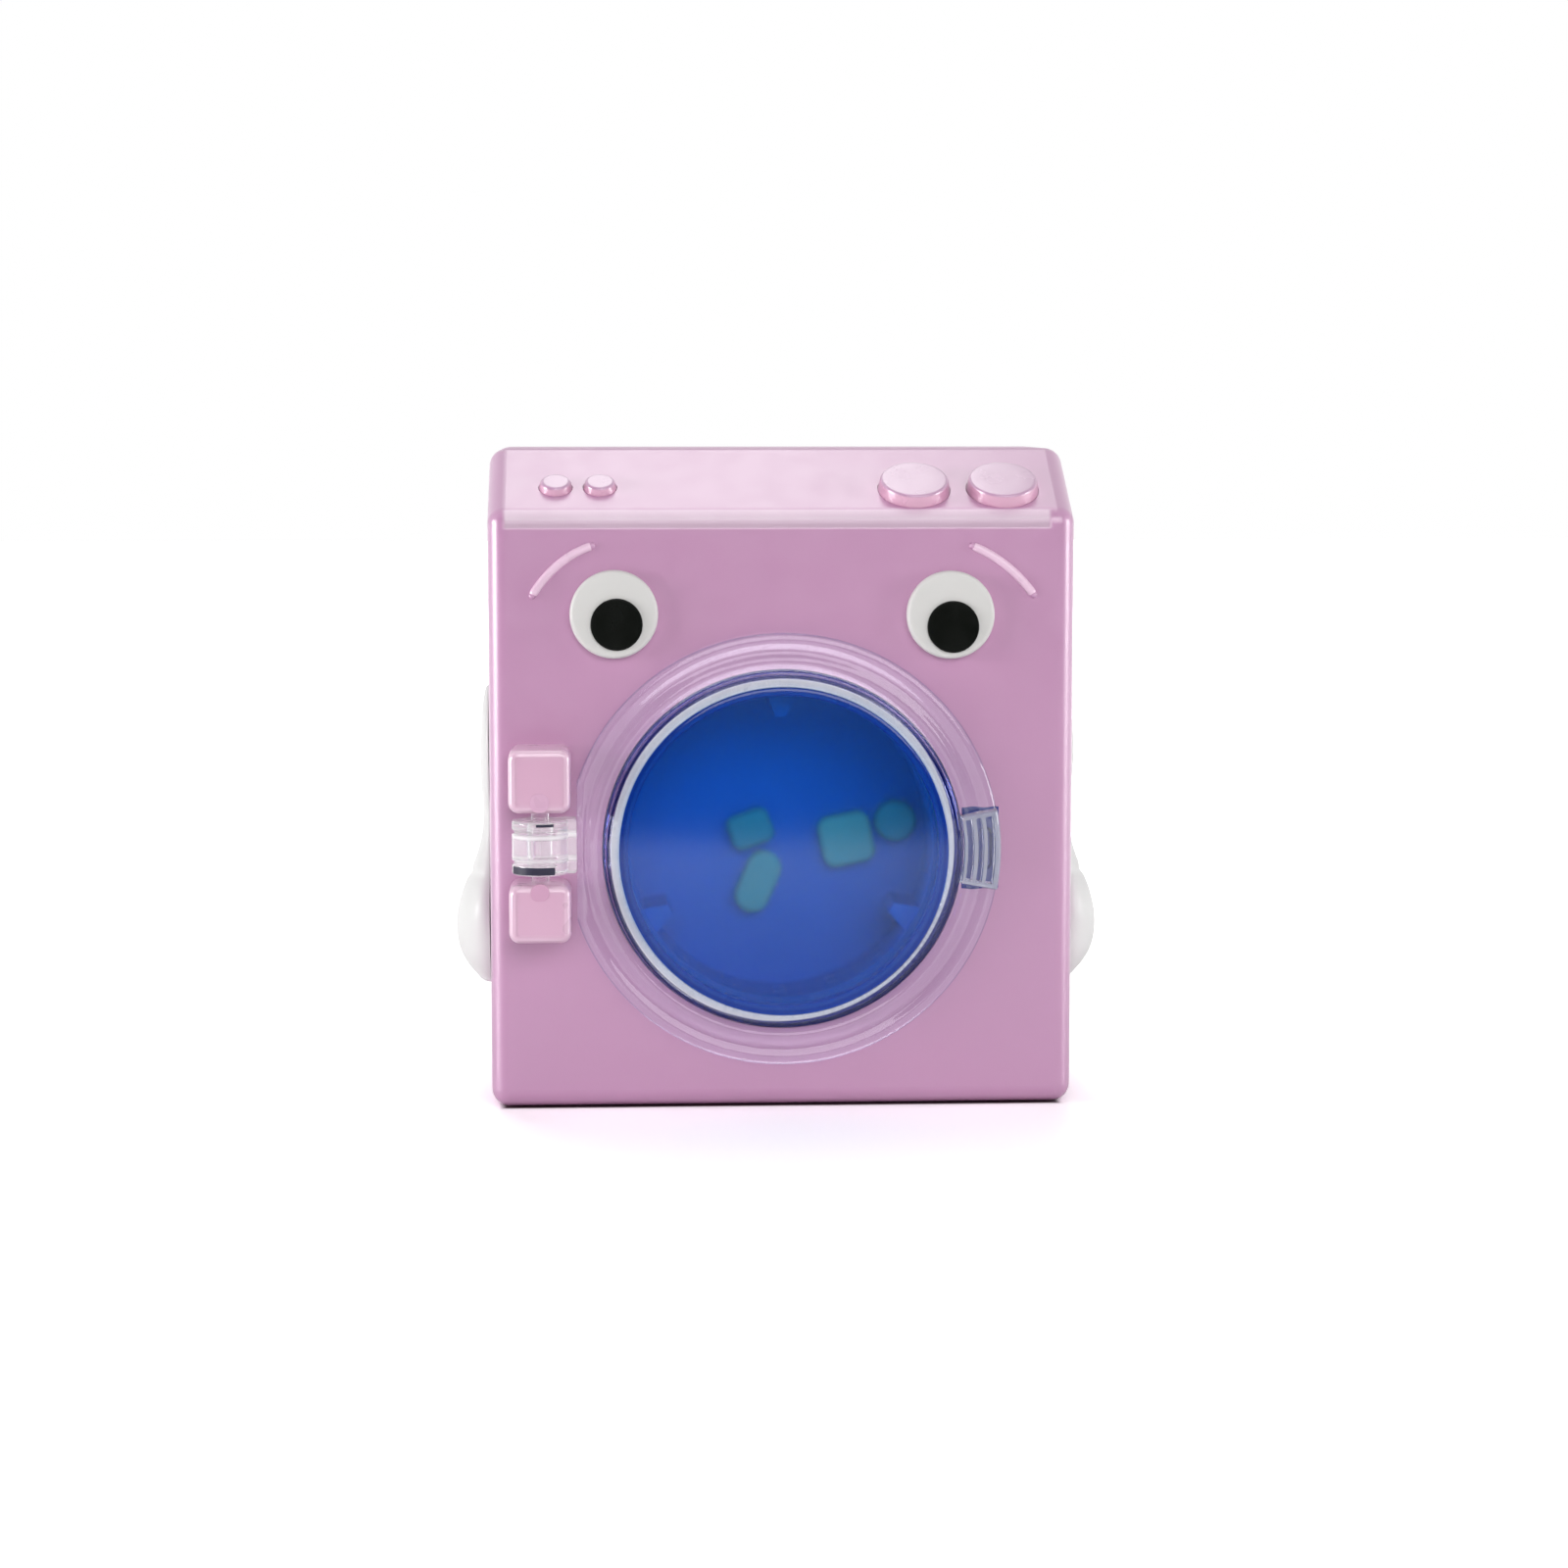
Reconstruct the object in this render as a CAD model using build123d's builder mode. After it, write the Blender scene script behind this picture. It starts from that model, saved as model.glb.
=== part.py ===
"""Toy washing machine with a hinged round door, a turning drum, four push buttons and two arms.

Millimetres, +Z up, front towards -Y. The origin is the middle of the cabinet's footprint on the floor.
"""
import os
from math import acos, cos, degrees, pi, radians, sin, tan

from build123d import *

os.makedirs("parts", exist_ok=True)

# Cabinet
cabinet_width = 90.0
cabinet_depth = 48.0
front_height = 92.0
panel_depth = 17.3
panel_slope = 29.0  # degrees, from the front edge up to the back
edge_radius = 2.8
wall = 2.0
inner_edge_radius = 0.8

# Non-slip sheet glued into a shallow seat under the floor
base_sheet_margin = 5.0
base_sheet_thickness = 0.8
base_sheet_proud = 0.2
base_sheet_clearance = 0.1

# Rear cover, its lip and its screws
cover_thickness = 2.5
lip_depth = 2.0
lip_thickness = 1.6
lip_clearance = 0.15
pillar_radius = 3.2
pillar_bite = 0.4
lower_pillar_z = 6.6
upper_pillar_drop = 9.8
cover_screw_radius = 1.1
cover_screw_head_radius = 2.2
cover_screw_head_height = 1.4
cover_screw_length = 9.0
screw_clearance = 0.05
screw_hole_extra_depth = 1.0
screw_seat_clearance = 0.2
screw_slot_length = 1.2  # of the head's radius
screw_slot_width = 0.3  # of the head's radius

# Battery tray and cells
cell_radius = 5.25
cell_length = 44.5
cell_nub_radius = 1.9
cell_nub_length = 0.8
cell_edge_radius = 0.4
cell_pitch = 11.6
lower_cell_z = 11.7
cell_clearance = 0.2
tray_wall = 1.5
tray_to_gear_cover = 0.2
contact_thickness = 0.4
contact_spring_length = 3.4
contact_spring_radii = (3.2, 1.8)
battery_door_thickness = 1.8
battery_door_overlap = 1.4
battery_back_gap = 1.0
battery_door_clearance = 0.15
battery_door_tab = 4.2
battery_door_boss_radius = 2.9
battery_door_screw_length = 6.0

# Speaker
speaker_radius = 10.0
speaker_thickness = 4.0
speaker_magnet_radius = 6.0
speaker_clearance = 0.2
speaker_ring_wall = 1.3
speaker_ring_height = 2.6
speaker_x = -26.0
speaker_z = 60.0
speaker_slot_width = 1.4
speaker_slot_pitch = 3.2
speaker_slot_lengths = (9.0, 14.0, 15.5, 14.0, 9.0)

# Drum, tub and collar
drum_z = 40.4
collar_radius = 27.9
tub_wall = 1.6
tub_flange_width = 7.3
tub_flange_thickness = 1.6
tub_flange_setback = 4.8
tub_back_thickness = 2.0
opening_clearance = 0.1
drum_running_gap = 1.5
drum_wall = 1.2
drum_rim_setback = 4.0
drum_back_thickness = 3.0
drum_to_tub_back = 1.0
lifter_count = 3
lifter_height = 3.4
lifter_width = 4.0
lifter_side_angle = 70.0
lifter_clear_angle = 12.0  # no drum hole is nearer to a lifter's middle
drum_hole_radius = 1.1
drum_holes_round = 18
drum_hole_rows = (5.0, 10.0)
tub_screw_radius = 0.9
tub_screw_head_radius = 1.8
tub_screw_head_height = 1.2
tub_screw_length = 5.0
tub_screw_edge = 2.9
tub_screw_count = 4
boss_wall = 1.7

# Shaft, bushes and gears
shaft_radius = 1.5
shaft_in_drum = 2.4
running_clearance = 0.05
bush_wall = 1.4
bush_flange_width = 1.0
bush_flange_thickness = 0.5
drum_gear_teeth = 40
drum_gear_module = 0.6
idler_wheel_teeth = 30
idler_wheel_module = 0.5
pinion_teeth = 10
gear_backlash = 0.14
gear_addendum = 0.8
gear_dedendum = 1.25
gear_pressure_angle = 20.0
flank_steps = 4
centre_extra = 0.1
gear_gap = 1.0
slow_gear_width = 2.4
fast_gear_width = 2.2
gear_level_gap = 0.8
end_play = 0.2
gear_hub_radius = 3.0
idler_pin_radius = 1.0
idler_pin_in_tub = 1.5
gear_cover_gap = 0.8
gear_cover_thickness = 1.6
gear_cover_side = 0.6
gear_cover_below = 6.5
gear_cover_margin = 1.0
gear_post_radius = 2.4
gear_post_lower = (16.5, -3.0)  # from the drum's axis
gear_post_upper = (13.0, 21.0)
gear_post_screw_length = 4.0

# Motor
motor_radius = 6.0
motor_length = 11.5
motor_shaft_radius = 0.75
motor_shaft_in_body = 3.0
motor_nose_radius = 2.2
motor_nose_length = 1.2
motor_collar_wall = 1.4
motor_collar_length = 5.0
motor_fit = 0.05
motor_back_gap = 0.3

# Laundry glued to the back of the drum, places measured from the drum's centre
laundry_thickness = 2.6
laundry_round = 0.9
sock_cuff_spot = (-4.3, 1.2)
sock_cuff_size = (7.0, 5.6, 1.6)  # length, height, corner
sock_cuff_turn = 20.0  # degrees
sock_foot_spot = (-3.1, -7.2)
sock_foot_size = (10.2, 5.6)
sock_foot_turn = 66.0
sleeve_radius = 3.3
sleeve_to_wall = 1.6
sleeve_height = 2.4
shirt_to_sleeve = 0.3
shirt_size = (8.4, 8.2, 2.0)
shirt_height = -0.5
shirt_turn = 12.0

# Door
flange_width = 5.95
flange_gap = 0.3
flange_thickness = 1.6
bead_height = 0.5
bead_width = 1.1
ridge_inset = 1.1
ridge_width = 2.0
ridge_height = 0.7
rim_to_collar = 0.5
rim_draft = 0.3
rim_height = 2.6
rim_corner = 0.5
rim_roof = 1.0
rim_wall = 0.8
lug_flange_gap = 0.9
window_thickness = 1.6
window_bulge = 1.3
window_clearance = 0.1
seal_width = 1.3
seal_ledge = 1.4
grip_angle = 22.0
grip_height = 2.0
grip_rim_gap = 0.3
grip_groove_depth = 1.5
grip_end_wall = 1.8  # degrees left standing at each end of the grooves
grip_grooves = ((0.6, 1.5), (2.2, 3.0), (3.7, 4.7))  # from the grip's inner edge
keeper_width = 4.0
keeper_height = 12.4
keeper_depth = 1.2
keeper_clearance = 0.1
keeper_web = 1.1  # wall left between the front's opening and the keeper's pocket
snap_bead_radius = 0.8
snap_bead_length = 6.0
snap_bead_clearance = 0.3

# Door hinge
pin_from_flange = 3.85
pin_radius = 1.35
pin_clearance = 0.06
pin_upper_hold = 3.4
pin_lower_hold = 2.7
knuckle_radius = 4.3
knuckle_gap = 0.4  # between the knuckle and the cabinet's front
knuckle_low = 37.4
knuckle_high = 45.7
knuckle_groove_depth = 0.7
knuckle_groove_height = 1.1
knuckle_groove_inset = 1.2
knuckle_pocket_width = 3.6
knuckle_pocket_height = 2.6
knuckle_pocket_depth = 1.2
knuckle_pocket_shift = 1.0
lug_width = 9.4
lug_gap = 1.3
lower_lug_height = 8.9
upper_lug_height = 9.7
lug_edge_radius = 1.3
lug_side_radius = 2.0
neck_thickness = 3.0
neck_step = 0.45
neck_overlap = 1.5

# Face
eye_radius = 6.75
eye_thickness = 1.7
eye_edge_radius = 0.8
pupil_radius = 3.97
pupil_thickness = 0.5
pupil_edge_radius = 0.15
eye_peg_radius = 1.5
eye_peg_clearance = 0.1
left_eye = (-25.8, 15.4)  # across, and down from the front's top edge
right_eye = (25.7, 15.6)
left_pupil_shift = (0.4, -1.5)  # across and up, from the eye's middle
right_pupil_shift = (0.3, -1.8)
brow_radius = 0.55
left_brow = ((-38.2, 12.6), (-34.2, 7.9), (-29.1, 5.0))  # across, and down from the front's top edge
right_brow = ((29.1, 5.1), (34.3, 8.2), (38.5, 12.6))

# Buttons, on the panel: across from the middle, up the slope
small_button_radius = 2.45
small_button_rise = 1.2
big_button_radius = 5.45
big_button_rise = 1.9
button_taper = 0.25
button_edge_radius = 0.5
button_hole_clearance = 0.2
button_travel = 1.0
button_flange_gap = 0.1
button_flange_thickness = 0.8
button_ear = 0.6
button_flat = 0.9
button_stem_radius = 1.6
hole_relief = 2.5
small_left_spot = (-34.6, 7.6)
small_right_spot = (-27.8, 7.6)
big_left_spot = (20.6, 7.0)
big_right_spot = (34.3, 7.0)

# Switch board and rubber key pad below the panel
board_drop = 7.0
board_thickness = 1.2
board_side_gap = 3.6
board_low = 2.8
board_high = 14.2
pad_thickness = 0.8
pad_margin = 0.5
dome_squeezed = 0.6  # what is left of a dome when its button is pressed
dome_radii = (2.3, 1.7)
dome_gap = 0.15
board_post_radius = 2.2
board_post_clearance = 0.3
board_post_spots = ((-17.0, 8.4), (7.0, 8.4))
board_screw_length = 4.5

# Arms
shoulder_y = -6.0
shoulder_z = 55.2
arm_gap = 0.3
arm_peg_radius = 2.4
arm_peg_clearance = 0.06
arm_clip_radius = 4.6
arm_clip_thickness = 1.6
arm_clip_gap = 0.2
arm_peg_tail = 0.6
# each cross-section of the arm: height above the shoulder, half breadth, proudness
arm_sections = (
    (9.1, 2.6, 0.5),
    (6.8, 6.2, 1.0),
    (3.3, 8.9, 1.4),
    (-0.7, 9.4, 1.6),
    (-5.7, 7.6, 1.5),
    (-9.7, 5.4, 1.2),
    (-13.2, 5.2, 1.3),
    (-16.7, 6.4, 2.0),
    (-19.7, 7.8, 3.1),
    (-23.7, 9.3, 4.7),
    (-28.7, 10.0, 5.5),
    (-33.7, 8.4, 4.4),
    (-36.6, 5.2, 2.4),
    (-38.0, 2.4, 0.9),
)

# Levels worked out from the sizes above
half_width = cabinet_width / 2
floor_z = base_sheet_proud
front_y = -cabinet_depth / 2
back_y = cabinet_depth / 2
split_y = back_y - cover_thickness
slope = radians(panel_slope)
top_z = front_height + panel_depth * tan(slope)
wall_inner_y = front_y + wall
flange_front_y = wall_inner_y + tub_flange_setback
flange_back_y = flange_front_y + tub_flange_thickness
drum_rim_y = front_y + drum_rim_setback
# From the back cover forwards: cells, gear cover, fast gears, slow gears, tub, and the drum fills the rest
cell_y = back_y - battery_door_thickness - battery_back_gap - cell_radius
tray_front_y = cell_y - cell_radius - cell_clearance - tray_wall
gear_cover_back_y = tray_front_y - tray_to_gear_cover
gear_cover_y = gear_cover_back_y - gear_cover_thickness
fast_back_y = gear_cover_y - gear_cover_gap
fast_front_y = fast_back_y - fast_gear_width
slow_back_y = fast_front_y - gear_level_gap
slow_front_y = slow_back_y - slow_gear_width
tub_back_y = slow_front_y - gear_gap
tub_floor_y = tub_back_y - tub_back_thickness
drum_back_y = tub_floor_y - drum_to_tub_back
tub_inner_radius = collar_radius - tub_wall
drum_radius = tub_inner_radius - drum_running_gap
drum_inner_radius = drum_radius - drum_wall
tub_flange_radius = collar_radius + tub_flange_width
tub_screw_circle = tub_flange_radius - tub_screw_edge
slow_pinion_radius = drum_gear_module * pinion_teeth / 2
fast_pinion_radius = idler_wheel_module * pinion_teeth / 2
idler_z = drum_z + drum_gear_module * drum_gear_teeth / 2 + slow_pinion_radius + centre_extra
motor_z = idler_z + idler_wheel_module * idler_wheel_teeth / 2 + fast_pinion_radius + centre_extra
lug_depth = knuckle_gap + 2 * knuckle_radius
rim_foot_radius = collar_radius - rim_to_collar
flange_radius = rim_foot_radius + flange_width
pin_x = -(flange_radius + pin_from_flange)
pin_y = front_y - knuckle_gap - knuckle_radius
flange_flat = -pin_x - lug_width / 2 - lug_flange_gap  # the flange is cut flat here, beside the lugs
keeper_x = collar_radius + opening_clearance + keeper_web + keeper_clearance + keeper_width / 2
window_bore = rim_foot_radius - rim_wall - seal_width
window_radius = window_bore - window_clearance
grip_inner_radius = rim_foot_radius + grip_rim_gap
ridge_radius_in = rim_foot_radius + ridge_inset
ridge_radius_out = ridge_radius_in + ridge_width
board_half_width = half_width - wall - board_side_gap
dome_height = button_travel + dome_squeezed
pillar_x = half_width - wall + pillar_bite - pillar_radius
upper_pillar_z = front_height - upper_pillar_drop
flange_back = front_y - flange_gap
flange_front = flange_back - flange_thickness
rim_front = flange_front - rim_height


def slab_plane(y):
    """Upright plane at depth y: across and up, with its normal towards the front."""
    return Plane.XZ.offset(-y)


def radial_plane(angle=0.0):
    """Plane through the drum's axis: distance from the axis, then depth."""
    turn = radians(angle)
    return Plane(origin=(0, 0, drum_z), x_dir=(cos(turn), 0, sin(turn)), z_dir=(-sin(turn), 0, cos(turn)))


drum_axis = Axis((0, 0, drum_z), (0, 1, 0))
panel_plane = Plane(origin=(0, front_y, front_height), x_dir=(1, 0, 0), z_dir=(0, -sin(slope), cos(slope)))


def save(piece, name):
    """Label a finished piece and write it."""
    piece.part.label = name
    export_step(piece.part, f"parts/{name}.step")


def case_block(inset, radius):
    """The cabinet's outer block, drawn in by inset on every side, with rounded edges."""
    with BuildPart() as block:
        with BuildSketch(Plane.YZ):
            with BuildLine():
                Polyline(
                    (front_y, floor_z),
                    (back_y, floor_z),
                    (back_y, top_z),
                    (front_y + panel_depth, top_z),
                    (front_y, front_height),
                    close=True,
                )
            make_face()
            if inset:
                offset(amount=-inset, kind=Kind.INTERSECTION)
        extrude(amount=half_width - inset, both=True)
        fillet(block.edges(), radius=radius)
    return block.part


def ring(outline, arc=360.0, start=0.0):
    """A turned solid: outline is (distance from the drum's axis, depth) points."""
    with BuildPart() as turned:
        with BuildSketch(radial_plane(start)):
            with BuildLine():
                Polyline(*outline, close=True)
            make_face()
        revolve(axis=drum_axis, revolution_arc=arc)
    return turned.part


def ring_box(inner, outer, low_y, high_y):
    """Outline of a plain ring."""
    return ((inner, low_y), (outer, low_y), (outer, high_y), (inner, high_y))


def gear_outline(teeth, module, gap_angle=None, tooth_angle=None):
    """Points round a gear whose flanks are involutes of its base circle."""
    pitch = teeth * module / 2
    pressure = radians(gear_pressure_angle)
    base = pitch * cos(pressure)
    root = pitch - gear_dedendum * module
    tip = pitch + gear_addendum * module
    step = 2 * pi / teeth
    first = radians(tooth_angle) if gap_angle is None else radians(gap_angle) + step / 2

    def half_angle(radius):
        roll = acos(min(1.0, base / radius))
        return (step / 4 - gear_backlash / (4 * pitch) + tan(pressure) - pressure) - (tan(roll) - roll)

    flank_start = max(base, root)
    flank = [flank_start + (tip - flank_start) * i / (flank_steps - 1) for i in range(flank_steps)]
    if root < base:
        flank = [root] + flank
    points = []
    for tooth in range(teeth):
        middle = first + tooth * step
        sides = [(radius, middle - half_angle(radius)) for radius in flank]
        sides += [(radius, middle + half_angle(radius)) for radius in reversed(flank)]
        points += [(radius * cos(turn), radius * sin(turn)) for radius, turn in sides]
    return points


def gear_face(height, teeth, module, gap_angle=None, tooth_angle=None):
    """Face of a gear whose axis passes the middle line at this height, drawn on a slab plane."""
    points = gear_outline(teeth, module, gap_angle, tooth_angle)
    with BuildLine() as outline:
        Polyline(*[(x, z + height) for x, z in points], close=True)
    make_face(outline.edges())


def screw(plane, spots, shank_radius, length, head_radius, head_height):
    """Pan-head screws whose heads sit on the plane, with the shanks going below it."""
    with BuildPart() as screws:
        with BuildSketch(plane):
            with Locations(*spots):
                Circle(head_radius)
        extrude(amount=head_height)
        with BuildSketch(plane):
            with Locations(*spots):
                Circle(shank_radius)
        extrude(amount=-length)
        with BuildSketch(plane.offset(head_height)):
            with Locations(*spots):
                Rectangle(head_radius * screw_slot_length, head_radius * screw_slot_width)
                Rectangle(head_radius * screw_slot_width, head_radius * screw_slot_length)
        extrude(amount=-head_height / 2, mode=Mode.SUBTRACT)
    return screws


# Housing: one moulding with its pillars, screw bosses, board posts and brow ridges
pillar_spots = [(x, z) for x in (-pillar_x, pillar_x) for z in (lower_pillar_z, upper_pillar_z)]
tub_screw_angles = [radians(45 + 360 * index / tub_screw_count) for index in range(tub_screw_count)]
tub_screw_spots = [
    (tub_screw_circle * cos(angle), drum_z + tub_screw_circle * sin(angle)) for angle in tub_screw_angles
]
gear_post_spots = [(side * x, z) for x, z in (gear_post_lower, gear_post_upper) for side in (-1, 1)]
eyes = {side: (x, front_height - drop) for side, (x, drop) in (("left", left_eye), ("right", right_eye))}
buttons = {
    "button_small_left": (small_left_spot, small_button_radius, small_button_rise),
    "button_small_right": (small_right_spot, small_button_radius, small_button_rise),
    "button_big_left": (big_left_spot, big_button_radius, big_button_rise),
    "button_big_right": (big_right_spot, big_button_radius, big_button_rise),
}
keeper_spot = (keeper_x, drum_z)
sheet_middle = (0, (front_y + split_y) / 2)
sheet_width = cabinet_width - 2 * base_sheet_margin
sheet_depth = split_y - front_y - 2 * base_sheet_margin

with BuildPart() as housing:
    add(case_block(0, edge_radius))
    add(case_block(wall, inner_edge_radius), mode=Mode.SUBTRACT)
    split(bisect_by=slab_plane(split_y), keep=Keep.TOP)
    with BuildSketch(slab_plane(split_y)):
        with Locations(*pillar_spots):
            Circle(pillar_radius)
    extrude(amount=split_y - wall_inner_y)
    with BuildSketch(slab_plane(flange_front_y)):
        with Locations(*tub_screw_spots):
            Circle(tub_screw_radius + boss_wall)
    extrude(amount=flange_front_y - wall_inner_y)
    with BuildSketch(panel_plane.offset(-wall)):
        with Locations(*board_post_spots):
            Circle(board_post_radius)
    extrude(amount=-(board_drop - wall))
    # Openings: the sheet's seat, the door's hole, button holes, eye holes, keeper pocket and shoulder holes
    with BuildSketch(Plane.XY.offset(base_sheet_thickness)):
        with Locations(sheet_middle):
            Rectangle(sheet_width + 2 * base_sheet_clearance, sheet_depth + 2 * base_sheet_clearance)
    extrude(amount=-base_sheet_thickness, mode=Mode.SUBTRACT)
    with BuildSketch(slab_plane(wall_inner_y)):
        with Locations((0, drum_z)):
            Circle(collar_radius + opening_clearance)
        with Locations(*eyes.values()):
            Circle(eye_peg_radius + eye_peg_clearance)
    extrude(amount=wall, mode=Mode.SUBTRACT)
    with BuildSketch(slab_plane(front_y)):
        with Locations(keeper_spot):
            Rectangle(keeper_width + 2 * keeper_clearance, keeper_height + 2 * keeper_clearance)
    extrude(amount=-keeper_depth, mode=Mode.SUBTRACT)
    with BuildSketch(panel_plane):
        for spot, radius, rise in buttons.values():
            with Locations(spot):
                Circle(radius + button_hole_clearance)
    extrude(amount=-(wall + hole_relief), mode=Mode.SUBTRACT)
    with BuildSketch(Plane.YZ.offset(-half_width)):
        with Locations((shoulder_y, shoulder_z)):
            Circle(arm_peg_radius + arm_peg_clearance)
    extrude(amount=cabinet_width, mode=Mode.SUBTRACT)
    # Screw holes
    with BuildSketch(slab_plane(split_y)):
        with Locations(*pillar_spots):
            Circle(cover_screw_radius + screw_clearance)
    extrude(amount=cover_screw_length, mode=Mode.SUBTRACT)
    with BuildSketch(slab_plane(flange_front_y)):
        with Locations(*tub_screw_spots):
            Circle(tub_screw_radius + screw_clearance)
    extrude(amount=tub_screw_length - tub_flange_thickness + screw_hole_extra_depth, mode=Mode.SUBTRACT)
    with BuildSketch(panel_plane.offset(-board_drop)):
        with Locations(*board_post_spots):
            Circle(tub_screw_radius + screw_clearance)
    extrude(amount=board_screw_length - board_thickness + screw_hole_extra_depth / 2, mode=Mode.SUBTRACT)
    # Brow ridges: half-round beads on arcs, with round ends
    for brow in (left_brow, right_brow):
        with BuildLine(slab_plane(front_y)) as brow_line:
            ThreePointArc(*[(x, front_height - drop) for x, drop in brow])
        with BuildSketch(Plane(origin=brow_line.line @ 0, z_dir=brow_line.line % 0)):
            Circle(brow_radius)
        sweep(path=brow_line.line)
        with Locations(brow_line.line @ 0, brow_line.line @ 1):
            Sphere(brow_radius)
save(housing, "housing")

with BuildPart() as base_sheet:
    with BuildSketch():
        with Locations(sheet_middle):
            Rectangle(sheet_width, sheet_depth)
    extrude(amount=base_sheet_thickness)
save(base_sheet, "base_sheet")

# Rear cover: plate, locating lip, battery tray, speaker ring and screw seats
cell_heights = (lower_cell_z, lower_cell_z + cell_pitch)
tray_half = cell_length / 2 + contact_spring_length / 2 + contact_thickness
tray_low = cell_heights[0] - cell_radius - cell_clearance
tray_high = cell_heights[1] + cell_radius + cell_clearance
tray_middle = (tray_low + tray_high) / 2
battery_door_low = tray_low - battery_door_overlap
battery_door_high = tray_high + battery_door_tab
battery_door_middle = (battery_door_low + battery_door_high) / 2
battery_door_height = battery_door_high - battery_door_low
battery_door_width = 2 * (tray_half + battery_door_overlap)
battery_screw_spot = (0, battery_door_high - battery_door_tab / 2)
lip_inset = wall + lip_clearance
door_seat_y = back_y - battery_door_thickness

with BuildPart() as rear_cover:
    add(case_block(0, edge_radius))
    split(bisect_by=slab_plane(split_y), keep=Keep.BOTTOM)
    with BuildSketch(slab_plane(split_y)):
        with Locations((0, (floor_z + top_z) / 2)):
            RectangleRounded(cabinet_width - 2 * lip_inset, top_z - floor_z - 2 * lip_inset, inner_edge_radius)
            RectangleRounded(
                cabinet_width - 2 * (lip_inset + lip_thickness),
                top_z - floor_z - 2 * (lip_inset + lip_thickness),
                inner_edge_radius,
                mode=Mode.SUBTRACT,
            )
        with Locations(*pillar_spots):
            Circle(pillar_radius + lip_clearance, mode=Mode.SUBTRACT)
    extrude(amount=lip_depth)
    with BuildSketch(slab_plane(split_y)):
        with Locations((0, tray_middle)):
            Rectangle(2 * (tray_half + tray_wall), tray_high - tray_low + 2 * tray_wall)
        with Locations(battery_screw_spot):
            Circle(battery_door_boss_radius)
    extrude(amount=split_y - tray_front_y)
    with BuildSketch(slab_plane(split_y)):
        with Locations((speaker_x, speaker_z)):
            Circle(speaker_radius + speaker_ring_wall)
            Circle(speaker_radius + speaker_clearance, mode=Mode.SUBTRACT)
    extrude(amount=speaker_ring_height)
    with BuildSketch(slab_plane(back_y)):
        with Locations((0, tray_middle)):
            Rectangle(2 * tray_half, tray_high - tray_low)
    extrude(amount=back_y - tray_front_y - tray_wall, mode=Mode.SUBTRACT)
    with BuildSketch(slab_plane(back_y)):
        with Locations((0, battery_door_middle)):
            RectangleRounded(
                battery_door_width + 2 * battery_door_clearance,
                battery_door_height + 2 * battery_door_clearance,
                inner_edge_radius,
            )
    extrude(amount=battery_door_thickness, mode=Mode.SUBTRACT)
    with BuildSketch(slab_plane(back_y)):
        middle_row = len(speaker_slot_lengths) // 2
        for row, length in enumerate(speaker_slot_lengths):
            with Locations((speaker_x, speaker_z + (row - middle_row) * speaker_slot_pitch)):
                SlotOverall(length, speaker_slot_width)
    extrude(amount=cover_thickness, mode=Mode.SUBTRACT)
    with BuildSketch(slab_plane(back_y)):
        with Locations(*pillar_spots):
            Circle(cover_screw_radius + screw_clearance)
    extrude(amount=cover_thickness, mode=Mode.SUBTRACT)
    with BuildSketch(slab_plane(back_y)):
        with Locations(*pillar_spots):
            Circle(cover_screw_head_radius + screw_seat_clearance)
    extrude(amount=cover_screw_head_height, mode=Mode.SUBTRACT)
    with BuildSketch(slab_plane(door_seat_y)):
        with Locations(battery_screw_spot):
            Circle(tub_screw_radius + screw_clearance)
    extrude(amount=battery_door_screw_length, mode=Mode.SUBTRACT)
save(rear_cover, "rear_cover")

screw_seat = Plane(
    origin=(0, back_y - cover_screw_head_height, 0), x_dir=(1, 0, 0), z_dir=(0, 1, 0)
)
cover_screws = screw(
    screw_seat,
    [(x, -z) for x, z in pillar_spots],
    cover_screw_radius,
    cover_screw_length,
    cover_screw_head_radius,
    cover_screw_head_height,
)
save(cover_screws, "cover_screws")

with BuildPart() as battery_door:
    with BuildSketch(slab_plane(back_y)):
        with Locations((0, battery_door_middle)):
            RectangleRounded(battery_door_width, battery_door_height, inner_edge_radius)
    extrude(amount=battery_door_thickness)
    with BuildSketch(slab_plane(back_y)):
        with Locations(battery_screw_spot):
            Circle(tub_screw_radius + screw_clearance)
    extrude(amount=battery_door_thickness, mode=Mode.SUBTRACT)
    with BuildSketch(slab_plane(back_y)):
        with Locations(battery_screw_spot):
            Circle(tub_screw_head_radius + screw_clearance)
    extrude(amount=battery_door_thickness / 2, mode=Mode.SUBTRACT)
save(battery_door, "battery_door")

battery_screw_seat = Plane(
    origin=(0, back_y - battery_door_thickness / 2, 0), x_dir=(1, 0, 0), z_dir=(0, 1, 0)
)
battery_door_screw = screw(
    battery_screw_seat,
    [(battery_screw_spot[0], -battery_screw_spot[1])],
    tub_screw_radius,
    battery_door_screw_length,
    tub_screw_head_radius,
    battery_door_thickness / 2,
)
save(battery_door_screw, "battery_door_screw")

# Cells, their nubs towards the link plates on the left, springs on the right
cell_left = -tray_half + contact_thickness
for name, height in (("battery_lower", cell_heights[0]), ("battery_upper", cell_heights[1])):
    with BuildPart() as cell:
        with BuildSketch(Plane.YZ.offset(cell_left + cell_nub_length)):
            with Locations((cell_y, height)):
                Circle(cell_radius)
        extrude(amount=cell_length - cell_nub_length)
        fillet(cell.edges(), radius=cell_edge_radius)
        with BuildSketch(Plane.YZ.offset(cell_left)):
            with Locations((cell_y, height)):
                Circle(cell_nub_radius)
        extrude(amount=cell_nub_length)
    save(cell, name)

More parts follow.
